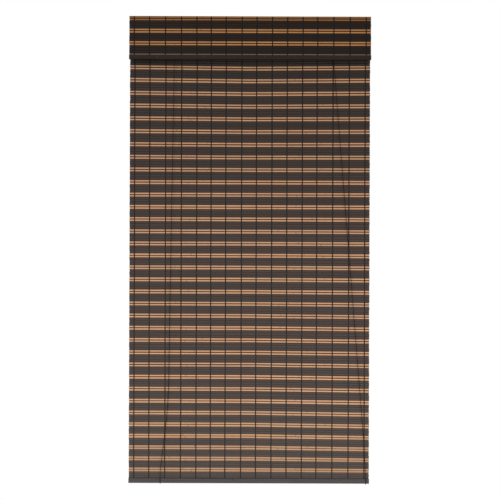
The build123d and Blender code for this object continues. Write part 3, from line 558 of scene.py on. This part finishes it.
def hank_points(y):
    """Control points of the folded turns: down one side, round the fold, up the other side."""
    points = []
    for turn, (radius, shift) in enumerate(HANK_TURNS):
        for share in RUN_SHARES:
            points.append((HANK_X + radius, y + shift, HANK_Z + share * HANK_HALF_RUN))
        if turn == len(HANK_TURNS) - 1:
            break
        for step in range(1, FOLD_STEPS):
            reach = radius * FOLD_SPREAD
            across = HANK_X + reach * math.cos(step * FOLD_STEP)
            down = HANK_Z - HANK_HALF_RUN - reach * math.sin(step * FOLD_STEP)
            points.append((across, y + shift, down))
        for share in RUN_SHARES:
            points.append((HANK_X - radius, y + shift, HANK_Z - share * HANK_HALF_RUN))
        next_radius, next_shift = HANK_TURNS[turn + 1]
        for step in range(1, FOLD_STEPS):
            share = step / FOLD_STEPS
            reach = (radius + (next_radius - radius) * share) * FOLD_SPREAD
            across = HANK_X - reach * math.cos(step * FOLD_STEP)
            up = HANK_Z + HANK_HALF_RUN + reach * math.sin(step * FOLD_STEP)
            points.append((across, y + shift + (next_shift - shift) * share, up))
    return points


def round_strand(name, kind, points, diameter, roundness, material):
    """A curve of round section on one spline of a kind; its points are in metres."""
    curve = bpy.data.curves.new(name, "CURVE")
    curve.dimensions = "3D"
    curve.bevel_depth = diameter / 2
    curve.bevel_resolution = roundness
    line = curve.splines.new(kind)
    line.points.add(len(points) - 1)
    for point, place in zip(line.points, points):
        point.co = (*place, 1)
    curve.materials.append(material)
    return add_object(name, curve)


def lift_cord(name, route):
    """A lift cord on one smooth line, from its anchor knot to the end of its put-away hank."""
    hank_y = route[-1][1]
    lead_out = [(HANK_X + x, hank_y + y, HANK_Z + z) for x, y, z in HANK_LEAD_OUT]
    points = [Vector(place) * MM for place in route + hank_points(hank_y) + lead_out]
    cord = round_strand(name, "NURBS", points, CORD_DIAMETER * MM, CORD_ROUNDNESS, CORD)
    cord.data.resolution_u = CORD_SMOOTHNESS
    cord.data.use_fill_caps = True
    cord.data.splines[0].order_u = 3
    cord.data.splines[0].use_endpoint_u = True
    return cord


left_cord = lift_cord("left_cord", LEFT_ROUTE)
finish_piece(left_cord, "dark_cord", "left_lift_cord", "left_pull_hank")
right_cord = lift_cord("right_cord", RIGHT_ROUTE)
finish_piece(right_cord, "dark_cord", "right_lift_cord", "right_pull_hank")

# Knots: an overhand knot drawn tight is a trefoil, three lobes on two winds
KNOT_LOBES = 3
KNOT_WINDS = 2
KNOT_RING = 1.1 * MM
KNOT_LOBE = 0.55 * MM
KNOT_STRETCH = 2.0
KNOT_CORD = 1.5 * MM
KNOT_POINTS = 36


def cord_knot(name, centre, node):
    """An overhand knot about a point, in place of one of a node's lumps."""
    points = []
    for index in range(KNOT_POINTS):
        turn = 2 * math.pi * index / KNOT_POINTS
        ring = KNOT_RING + KNOT_LOBE * math.cos(KNOT_LOBES * turn)
        across = ring * math.cos(KNOT_WINDS * turn)
        deep = ring * math.sin(KNOT_WINDS * turn)
        up = KNOT_STRETCH * KNOT_LOBE * math.sin(KNOT_LOBES * turn)
        points.append(centre + Vector((across, deep, up)))
    knot = round_strand(name, "POLY", points, KNOT_CORD, CORD_ROUNDNESS, CORD)
    knot.data.splines[0].use_cyclic_u = True
    return finish_piece(knot, "dark_cord", node)


def cord_knots(side, route):
    """The knots on a cord's two ends: on the rear lath, and under its hank."""
    ends = (
        ("anchor", route[0][0], route[0][1], "anchor_knots"),
        ("pull", HANK_X, route[-1][1], "pull_cord_knots"),
    )
    knots = []
    for end, x, y, node in ends:
        low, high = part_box(node)
        centre = Vector((x * MM, y * MM, (low.z + high.z) / 2))
        knots.append(cord_knot(f"{side}_{end}_knot", centre, node))
    return knots


left_knots = cord_knots("left", LEFT_ROUTE)
right_knots = cord_knots("right", RIGHT_ROUTE)

# Tie of the hanks: thread wound four times round both
TIE_WRAPS = 4
TIE_POINTS = 28
TIE_THREAD = 0.9 * MM
TIE_ROUNDNESS = 1
TIE_SQUARENESS = 4.0


def hank_tie():
    """A thread wound round both hanks, on a rounded rectangle that climbs a little each turn."""
    low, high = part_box("hank_tie")
    centre = (low + high) / 2
    half_x = (high.x - low.x - TIE_THREAD) / 2
    half_y = (high.y - low.y - TIE_THREAD) / 2
    rise = high.z - low.z - TIE_THREAD
    count = TIE_WRAPS * TIE_POINTS
    points = []
    for index in range(count + 1):
        turn = 2 * math.pi * index / TIE_POINTS
        across = math.cos(turn)
        deep = math.sin(turn)
        squared = abs(across) ** TIE_SQUARENESS + abs(deep) ** TIE_SQUARENESS
        reach = squared ** (-1 / TIE_SQUARENESS)
        up = rise * (index / count - 0.5)
        points.append(centre + Vector((half_x * across * reach, half_y * deep * reach, up)))
    thread = round_strand("hank_tie_thread", "POLY", points, TIE_THREAD, TIE_ROUNDNESS, THREAD)
    thread.data.use_fill_caps = True
    return finish_piece(thread, "black_thread", "hank_tie")


tie = hank_tie()


# Places of the slats and warps, read from the solids
TINY = 0.02 * MM


def corners_of(node):
    """All corners of a node's solids."""
    return [vertex.co for vertex in NODES[node].data.vertices]


def pairs_of(values):
    """Neighbouring values, two by two."""
    return list(zip(values[0::2], values[1::2]))


def slat_rows(node):
    """(upper, lower) edges of each slat of a node, from the top down, by its back corners."""
    low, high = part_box(node)
    back = [c for c in corners_of(node) if c.x < low.x + TINY and c.y > high.y - TINY]
    return pairs_of(sorted({round(c.z, 6) for c in back}, reverse=True))


def warp_bands(node):
    """The left and right side of each warp, by the threads' lower corners."""
    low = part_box(node)[0]
    return pairs_of(sorted({round(c.x, 6) for c in corners_of(node) if c.z < low.z + TINY}))


# Parts of geometry trees
def new_tree(name, sizes, whole_numbers):
    """A tree with a geometry, named sizes, whole numbers and a material; returns its inputs too."""
    tree = bpy.data.node_groups.new(name, "GeometryNodeTree")
    kinds = {"Geometry": "Geometry"}
    kinds.update({size: "Float" for size in sizes})
    kinds.update({number: "Int" for number in whole_numbers})
    kinds["Material"] = "Material"
    for label, kind in kinds.items():
        tree.interface.new_socket(label, in_out="INPUT", socket_type=f"NodeSocket{kind}")
    tree.interface.new_socket("Geometry", in_out="OUTPUT", socket_type="NodeSocketGeometry")
    return tree, tree.nodes.new("NodeGroupInput").outputs


def close_tree(tree, geometry, material):
    """Ends a tree: instances made real and the material set."""
    real = add_node(tree, "GeometryNodeRealizeInstances", {"Geometry": geometry})
    values = {"Geometry": real.outputs["Geometry"], "Material": material}
    dressed = add_node(tree, "GeometryNodeSetMaterial", values)
    out = tree.nodes.new("NodeGroupOutput")
    tree.links.new(dressed.outputs["Geometry"], out.inputs["Geometry"])


def keep_value(tree, geometry, name, value, kind="FLOAT", domain="POINT"):
    """The geometry with a value kept on it under a name."""
    values = {"Geometry": geometry, "Name": name, "Value": value}
    node = add_node(
        tree, "GeometryNodeStoreNamedAttribute", values, data_type=kind, domain=domain
    )
    return node.outputs["Geometry"]


def kept_value(tree, name, kind="FLOAT"):
    """A value that the geometry carries under a name."""
    node = add_node(tree, "GeometryNodeInputNamedAttribute", {"Name": name}, data_type=kind)
    return node.outputs["Attribute"]


def point_place(tree):
    """The X, Y and Z of each point."""
    return parts_of(tree, tree.nodes.new("GeometryNodeInputPosition").outputs["Position"])


def shifted(tree, geometry, **parts):
    """The geometry moved by the given parts of an offset."""
    values = {"Geometry": geometry, "Offset": vector_of(tree, **parts)}
    return add_node(tree, "GeometryNodeSetPosition", values).outputs["Geometry"]


def swept(tree, curve, section):
    """A closed skin that carries a section along a curve."""
    values = {"Curve": curve, "Profile Curve": section, "Fill Caps": True}
    return add_node(tree, "GeometryNodeCurveToMesh", values).outputs["Mesh"]


def grown(piece, tree, values):
    """Gives a piece the tree's result as its plain mesh."""
    modifier = piece.modifiers.new(tree.name, "NODES")
    modifier.node_group = tree
    for item in tree.interface.items_tree:
        if item.in_out == "INPUT" and item.name in values:
            modifier[item.identifier] = values[item.name]
    evaluated = piece.evaluated_get(bpy.context.evaluated_depsgraph_get())
    mesh = bpy.data.meshes.new_from_object(evaluated)
    mesh.name = piece.name
    piece.modifiers.clear()
    piece.data = mesh
    return piece


# How the rows hang: turns per metre and start of the drift and of the tilt, and the tilt's strength
NOISE_MIDDLE = 0.5
GENTLE_DETAIL = 1.0
HANG_SIZES = ("Half length", "Drift", "Bow", "Droop")
DRIFT_TURNS = (7.0, 3.0)
TILT_TURNS = (5.0, 11.0)
TILT_STRENGTH = 1.6

# Levels at which the rows' bow and droop begin, are full, still full, and over, from the top down
BOW_LEVELS = (-0.04, -0.15, -0.20, -0.62)
DROOP_LEVELS = (-0.75, -1.46, -1.64, -1.74)


def rise_and_fall(tree, height, levels):
    """A share that grows from 0 to 1 between the first two levels and back between the last two."""
    begins, full, still_full, over = levels
    rise = ramp(tree, height, begins, full)
    fall = ramp(tree, height, over, still_full)
    return product(tree, rise, fall)


def uneven_by_height(tree, height, turns, start):
    """Noise about 0 that changes with height alone."""
    along = maths(tree, "MULTIPLY_ADD", height, turns, start)
    values = {"W": along, "Scale": 1.0, "Detail": GENTLE_DETAIL}
    noise = add_node(tree, "ShaderNodeTexNoise", values, noise_dimensions="1D").outputs[0]
    return maths(tree, "SUBTRACT", noise, NOISE_MIDDLE)


def row_sway(tree, geometry, given):
    """Rows that hang unevenly, the same for slats and threads: each drifts and tilts a little,
    the upper ones bow up at both ends and the lower ones droop on the right."""
    place = point_place(tree)
    drift = uneven_by_height(tree, place["Z"], *DRIFT_TURNS)
    tilt = uneven_by_height(tree, place["Z"], *TILT_TURNS)
    lean = product(tree, tilt, place["X"], TILT_STRENGTH)
    drift = product(tree, maths(tree, "ADD", drift, lean), given["Drift"])
    reach = maths(tree, "DIVIDE", place["X"], given["Half length"])
    bowed = rise_and_fall(tree, place["Z"], BOW_LEVELS)
    bow = product(tree, maths(tree, "ABSOLUTE", reach), given["Bow"], bowed)
    drooped = rise_and_fall(tree, place["Z"], DROOP_LEVELS)
    droop = product(tree, maths(tree, "MAXIMUM", reach, 0.0), given["Droop"], drooped)
    rise = maths(tree, "SUBTRACT", maths(tree, "ADD", drift, bow), droop)
    return shifted(tree, geometry, Z=rise)


# One slat has nine stations along its length, two of them on a knuckle of the cane; shares are of
# the slat's length, and station numbers count as the same when they differ by less than a tenth
STATION_SHARES = (-0.5, -0.262, -0.25, -0.238, 0.0, 0.208, 0.22, 0.232, 0.5)
KNUCKLE_STATIONS = (2, 6)
KNUCKLE_SHARE = 0.25
KNUCKLE_REACH_SHARE = 0.1
END_SHARE = 0.49
SAME_NUMBER = 0.1
TONE_SEED_STEP = 50.0


def slat_spine(tree, given):
    """The middle line of a slat through its stations, with the knuckles marked."""
    index = tree.nodes.new("GeometryNodeInputIndex").outputs["Index"]
    station = tree.nodes.new("GeometryNodeIndexSwitch")
    station.data_type = "FLOAT"
    for _ in range(len(STATION_SHARES) - len(station.index_switch_items)):
        station.index_switch_items.new()
    tree.links.new(index, station.inputs["Index"])
    for number, share in enumerate(STATION_SHARES):
        station.inputs[1 + number].default_value = share
    along = product(tree, station.outputs[0], given["Length"])
    line = add_node(tree, "GeometryNodeMeshLine", {"Count": len(STATION_SHARES)}).outputs["Mesh"]
    values = {"Geometry": line, "Position": vector_of(tree, X=along)}
    spine = add_node(tree, "GeometryNodeSetPosition", values).outputs["Geometry"]
    first, second = KNUCKLE_STATIONS
    at_first = maths(tree, "COMPARE", index, float(first), SAME_NUMBER)
    at_second = maths(tree, "COMPARE", index, float(second), SAME_NUMBER)
    marked = keep_value(tree, spine, "knuckle", maths(tree, "ADD", at_first, at_second))
    return add_node(tree, "GeometryNodeMeshToCurve", {"Mesh": marked}).outputs["Curve"]


def slat_section(tree, given):
    """A bevelled section that tells how far across the slat it is, from -1 to 1."""
    sides = {"Width": given["Thickness"], "Height": given["Width"]}
    plain = add_node(tree, "GeometryNodeCurvePrimitiveQuadrilateral", sides).outputs["Curve"]
    corner = {"Curve": plain, "Count": 1, "Radius": given["Edge"]}
    bevelled = add_node(tree, "GeometryNodeFilletCurve", corner, mode="POLY").outputs["Curve"]
    half_width = maths(tree, "DIVIDE", given["Width"], 2.0)
    across = maths(tree, "DIVIDE", point_place(tree)["Y"], half_width)
    return keep_value(tree, bevelled, "across", across)


def slats_on_rows(tree, given, slat):
    """One slat on each row's point, as wide as its row, with its own luck and tone.

    A random value's least and most are sockets 0 and 1 in three parts, and 2 and 3 in one."""
    stretch = maths(tree, "DIVIDE", kept_value(tree, "row_width"), given["Width"])
    scale = vector_of(tree, X=1.0, Y=1.0, Z=stretch)
    values = {"Points": given["Geometry"], "Instance": slat, "Scale": scale}
    rows = add_node(tree, "GeometryNodeInstanceOnPoints", values).outputs["Instances"]
    spread = {0: (-1, -1, -1), 1: (1, 1, 1), "Seed": given["Seed"]}
    luck = add_node(tree, "FunctionNodeRandomValue", spread, data_type="FLOAT_VECTOR").outputs[0]
    rows = keep_value(tree, rows, "slat_luck", luck, "FLOAT_VECTOR", "INSTANCE")
    share = {2: 0.0, 3: 1.0, "Seed": maths(tree, "ADD", given["Seed"], TONE_SEED_STEP)}
    tone = add_node(tree, "FunctionNodeRandomValue", share, data_type="FLOAT").outputs[1]
    rows = keep_value(tree, rows, "slat_tone", tone, "FLOAT", "INSTANCE")
    return add_node(tree, "GeometryNodeRealizeInstances", {"Geometry": rows}).outputs["Geometry"]


def uneven_slats(tree, given, slats):
    """Slats whose knuckles stand out and wander, and whose ends aren't flush."""
    luck = parts_of(tree, kept_value(tree, "slat_luck", "FLOAT_VECTOR"))
    x = point_place(tree)["X"]
    end_x = product(tree, given["Length"], END_SHARE)
    at_right = maths(tree, "GREATER_THAN", x, end_x)
    at_left = maths(tree, "LESS_THAN", x, product(tree, end_x, -1.0))
    knuckle_x = product(tree, given["Length"], KNUCKLE_SHARE)
    reach = product(tree, given["Length"], KNUCKLE_REACH_SHARE)
    by_knuckle = maths(tree, "COMPARE", maths(tree, "ABSOLUTE", x), knuckle_x, reach)
    wander = product(tree, luck["X"], given["Knuckle wander"], by_knuckle)
    right_trim = product(tree, luck["Y"], at_right)
    left_trim = product(tree, luck["Z"], at_left)
    trim = product(tree, maths(tree, "ADD", right_trim, left_trim), given["Uneven ends"])
    lift = product(tree, kept_value(tree, "knuckle"), given["Knuckle lift"], -1.0)
    return shifted(tree, slats, X=maths(tree, "ADD", wander, trim), Y=lift)


def slat_tree():
    """Slats on the rows' points: bevelled strips with knuckles, uneven ends and their own tones."""
    shape = ("Length", "Width", "Thickness", "Edge")
    growth = ("Knuckle lift", "Knuckle wander", "Uneven ends")
    tree, given = new_tree("Woven slats", shape + growth + HANG_SIZES, ["Seed"])
    slat = swept(tree, slat_spine(tree, given), slat_section(tree, given))
    slats = uneven_slats(tree, given, slats_on_rows(tree, given, slat))
    close_tree(tree, row_sway(tree, slats, given), given["Material"])
    return tree


# Slats: they reach to the middle of the gaps beside them, where their grooves are, with painted shade
# in them
UNEVEN_ENDS = 0.5 * MM
SLAT_LOW, SLAT_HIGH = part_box("natural_slats")
SLAT_LENGTH = SLAT_HIGH.x - SLAT_LOW.x - 2 * UNEVEN_ENDS
SLAT_THICKNESS = SLAT_HIGH.y - SLAT_LOW.y
FIRST_UPPER, FIRST_LOWER = slat_rows("natural_slats")[0]
SLAT_WIDTH = FIRST_UPPER - FIRST_LOWER
SLAT_EDGES = {"natural_bamboo": 0.7 * MM, "dark_bamboo": 0.3 * MM}
SLAT_LAP = 0.15 * MM
# How far the painted shade in the grooves spreads onto slats beside wider gaps
GROOVE_SHADE_SPREAD = 2.5
KNUCKLE_LIFT = 0.25 * MM
KNUCKLE_WANDER = 95 * MM
HALF_LENGTH = SLAT_LENGTH / 2
MAT_HANG = {"Half length": HALF_LENGTH, "Drift": 2.4 * MM, "Bow": 4.4 * MM, "Droop": 5.4 * MM}
VALANCE_HANG = {"Half length": HALF_LENGTH, "Drift": 0.5 * MM, "Bow": 0.0, "Droop": 0.0}
MAT_ROWS = sorted(slat_rows("natural_slats") + slat_rows("dark_slats"), reverse=True)
VALANCE_ROWS = sorted(
    slat_rows("valance_natural_slats") + slat_rows("valance_dark_slats"), reverse=True
)
SLATS = slat_tree()


def filled_rows(rows):
    """Each slat's (middle, width) when its edges reach to the middle of the gaps beside it."""
    full = {}
    for number, (upper, lower) in enumerate(rows):
        over = (rows[number - 1][1] + upper) / 2 if number else upper
        under = (lower + rows[number + 1][0]) / 2 if number + 1 < len(rows) else lower
        full[(upper, lower)] = ((over + under) / 2, over - under + SLAT_LAP)
    return full


def hung_slats(name, node, weave, slot, material, seed):
    """The slats of one node, grown on a point for each; the weave is all its rows and how they hang."""
    rows, hang = weave
    low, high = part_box(node)
    depth = (low.y + high.y) / 2
    full = filled_rows(rows)
    places = [full[row] for row in slat_rows(node)]
    mesh = bpy.data.meshes.new(name)
    mesh.from_pydata([(0, depth, middle) for middle, _ in places], [], [])
    widths = [width for _, width in places]
    mesh.attributes.new("row_width", "FLOAT", "POINT").data.foreach_set("value", widths)
    # Share of each slat left clear of the painted shade in the grooves; wider gaps give more painted
    # shade
    faces = [1 - GROOVE_SHADE_SPREAD * (1 - SLAT_WIDTH / width) for width in widths]
    mesh.attributes.new("unshaded_share", "FLOAT", "POINT").data.foreach_set("value", faces)
    sizes = {
        "Length": SLAT_LENGTH,
        "Width": SLAT_WIDTH,
        "Thickness": SLAT_THICKNESS,
        "Edge": SLAT_EDGES[slot],
        "Knuckle lift": KNUCKLE_LIFT,
        "Knuckle wander": KNUCKLE_WANDER,
        "Uneven ends": UNEVEN_ENDS,
        "Seed": seed,
        "Material": material,
    }
    piece = grown(add_object(name, mesh), SLATS, {**sizes, **hang})
    finish_piece(piece, slot, node)


MAT = (MAT_ROWS, MAT_HANG)
VALANCE = (VALANCE_ROWS, VALANCE_HANG)
SLAT_PIECES = [
    ("mat_natural_slats", "natural_slats", MAT, "natural_bamboo", NATURAL),
    ("mat_dark_slats", "dark_slats", MAT, "dark_bamboo", DARK),
    ("valance_light_slats", "valance_natural_slats", VALANCE, "natural_bamboo", VALANCE_NATURAL),
    ("valance_deep_slats", "valance_dark_slats", VALANCE, "dark_bamboo", VALANCE_DARK),
]
for number, slat_piece in enumerate(SLAT_PIECES):
    hung_slats(*slat_piece, SEED + number)

# Warp threads: two flat yarns a row, which change sides at every gap
YARN_SPREAD = 1.3
YARN_HALF_THICKNESS = 0.32 * MM
YARN_LIFT = 0.28 * MM
YARN_PINCH_SHARE = 0.3
YARN_SIDES = 5
YARN_WANDER = 1.6 * MM
YARN_WANDER_TURNS = 9.0
SHOULDER = 0.9 * MM


def wandering_yarn(tree, given):
    """The drawn lines, which wander a little to the left and right."""
    place = tree.nodes.new("GeometryNodeInputPosition").outputs["Position"]
    values = {"Vector": place, "Scale": YARN_WANDER_TURNS, "Detail": GENTLE_DETAIL}
    noise = add_node(tree, "ShaderNodeTexNoise", values).outputs[0]
    aside = product(tree, maths(tree, "SUBTRACT", noise, NOISE_MIDDLE), given["Wander"])
    return shifted(tree, given["Geometry"], X=aside)


def thread_tree():
    """Yarn along drawn lines, narrower where it is pinched between two slats."""
    shape = ("Half width", "Half thickness", "Pinch", "Wander")
    tree, given = new_tree("Warp yarn", shape + HANG_SIZES, ["Sides"])
    lines = row_sway(tree, wandering_yarn(tree, given), given)
    curve = add_node(tree, "GeometryNodeMeshToCurve", {"Mesh": lines}).outputs["Curve"]
    facing = {"Curve": curve, "Normal": (1.0, 0.0, 0.0)}
    flat_on = add_node(tree, "GeometryNodeSetCurveNormal", facing, mode="FREE").outputs["Curve"]
    pinch = product(tree, kept_value(tree, "in_gap"), given["Pinch"])
    size = {"Curve": flat_on, "Radius": maths(tree, "SUBTRACT", 1.0, pinch)}
    sized = add_node(tree, "GeometryNodeSetCurveRadius", size).outputs["Curve"]
    circle = {"Resolution": given["Sides"], "Radius": 1.0}
    ring = add_node(tree, "GeometryNodeCurvePrimitiveCircle", circle).outputs["Curve"]
    flat = vector_of(tree, X=given["Half width"], Y=given["Half thickness"], Z=1.0)
    flattened = {"Geometry": ring, "Scale": flat}
    section = add_node(tree, "GeometryNodeTransform", flattened).outputs["Geometry"]
    yarn = {"Geometry": swept(tree, sized, section)}
    smooth = add_node(tree, "GeometryNodeSetShadeSmooth", yarn).outputs["Geometry"]
    close_tree(tree, smooth, given["Material"])
    return tree


THREADS = thread_tree()


def yarn_line(stations, start_side):
    """The points and gap marks of one yarn past (edge, edge, normal) stations in the YZ plane."""
    points = []
    in_gap = []
    side = start_side
    for number, (first, last, normal) in enumerate(stations):
        along = (last - first).normalized()
        out = normal * (SLAT_THICKNESS / 2 + YARN_LIFT) * side
        if number == 0:
            points.append(first + out)
            in_gap.append(0.0)
        points += [first + along * SHOULDER + out, last - along * SHOULDER + out]
        in_gap += [0.0, 0.0]
        if number + 1 < len(stations):
            points.append((last + stations[number + 1][0]) / 2)
            in_gap.append(1.0)
        else:
            points.append(last + out)
            in_gap.append(0.0)
        side = -side
    return points, in_gap


def woven_threads(name, node, stations, hang):
    """All yarns of a mat: two a warp, on opposite sides of each slat."""
    vertices = []
    edges = []
    marks = []
    bands = warp_bands(node)
    for left, right in bands:
        for start_side in (1, -1):
            points, in_gap = yarn_line(stations, start_side)
            first = len(vertices)
            vertices += [((left + right) / 2, place.x, place.y) for place in points]
            edges += [(first + i, first + i + 1) for i in range(len(points) - 1)]
            marks += in_gap
    mesh = bpy.data.meshes.new(name)
    mesh.from_pydata(vertices, edges, [])
    mesh.attributes.new("in_gap", "FLOAT", "POINT").data.foreach_set("value", marks)
    sizes = {
        "Half width": YARN_SPREAD * (bands[0][1] - bands[0][0]) / 2,
        "Half thickness": YARN_HALF_THICKNESS,
        "Pinch": YARN_PINCH_SHARE,
        "Sides": YARN_SIDES,
        "Wander": YARN_WANDER,
        "Material": THREAD,
    }
    piece = grown(add_object(name, mesh), THREADS, {**sizes, **hang})
    finish_piece(piece, "black_thread", node)


def hanging_stations(node, rows):
    """Stations of a hanging mat's slats, from the top down."""
    low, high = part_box(node)
    depth = (low.y + high.y) / 2
    front = Vector((-1.0, 0.0))
    return [(Vector((depth, upper)), Vector((depth, lower)), front) for upper, lower in rows]


def top_stations():
    """Stations of the two slats on the headrail's top, from the back to the front."""
    low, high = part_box("top_slats")
    height = (low.z + high.z) / 2
    under = [c for c in corners_of("top_slats") if c.x < low.x + TINY and c.z < low.z + TINY]
    depths = pairs_of(sorted({round(c.y, 6) for c in under}, reverse=True))
    up = Vector((0.0, 1.0))
    return [(Vector((back, height)), Vector((front, height)), up) for back, front in depths]


MAT_STATIONS = hanging_stations("natural_slats", MAT_ROWS)
VALANCE_STATIONS = top_stations() + hanging_stations("valance_natural_slats", VALANCE_ROWS)
woven_threads("mat_warp_yarns", "warp_threads", MAT_STATIONS, MAT_HANG)
woven_threads("valance_warp_yarns", "valance_warp_threads", VALANCE_STATIONS, VALANCE_HANG)

# Studio: a pale floor below, a white surround and soft light
FLOOR_Z = -2.3
FLOOR_SIZE = 3.2
FLOOR_MOTTLE = (3.0, 2.0)
FLOOR_ROUGHNESS = 0.9
FLOOR_PALE = linear(240, 240, 239)
FLOOR_PALER = linear(246, 246, 245)
SURROUND_WHITE = (1.0, 1.0, 1.0, 1.0)
SURROUND_LIGHT = 0.62
KEY_PLACE = (-1.6, -3.2, 1.6)
KEY_SIZE = 2.2
KEY_POWER = 60.0
FILL_PLACE = (1.8, -3.0, -1.2)
FILL_SIZE = 2.0
FILL_POWER = 22.0


def pale_floor():
    """A matt floor far enough below to stay out of the front view."""
    material, tree, shader = new_material("pale_floor")
    colour = mix_colour(tree, mottle(tree, *FLOOR_MOTTLE), FLOOR_PALE, FLOOR_PALER)
    tree.links.new(colour, shader.inputs["Base Color"])
    shader.inputs["Roughness"].default_value = FLOOR_ROUGHNESS
    half = FLOOR_SIZE / 2
    mesh = bpy.data.meshes.new("floor")
    corners = [(-half, -half), (half, -half), (half, half), (-half, half)]
    mesh.from_pydata([(x, y, FLOOR_Z) for x, y in corners], [], [(0, 1, 2, 3)])
    mesh.materials.append(material)
    add_object("floor", mesh)


def white_surround():
    """A world that is white to look at and in reflections, and lights softly."""
    world = bpy.data.worlds.new("surround")
    SCENE.world = world
    world.use_nodes = True
    tree = world.node_tree
    rays = add_node(tree, "ShaderNodeLightPath").outputs
    seen = maths(tree, "MAXIMUM", rays["Is Camera Ray"], rays["Is Glossy Ray"])
    seen = maths(tree, "MAXIMUM", seen, rays["Is Transmission Ray"])
    strength = ramp(tree, seen, 0.0, 1.0, SURROUND_LIGHT, 1.0)
    tree.links.new(strength, tree.nodes["Background"].inputs["Strength"])
    tree.nodes["Background"].inputs["Color"].default_value = SURROUND_WHITE


def soft_box(name, place, size, power):
    """A square area lamp that faces the middle of the mat."""
    data = bpy.data.lights.new(name, "AREA")
    data.size = size
    data.energy = power
    lamp = add_object(name, data)
    lamp.location = place
    towards = Vector((0.0, MAT_FACE_Y, CAMERA_Z)) - Vector(place)
    lamp.rotation_euler = towards.to_track_quat("-Z", "Y").to_euler()


pale_floor()
white_surround()
soft_box("key_light", KEY_PLACE, KEY_SIZE, KEY_POWER)
soft_box("fill_light", FILL_PLACE, FILL_SIZE, FILL_POWER)

SCENE.view_settings.view_transform = "Standard"
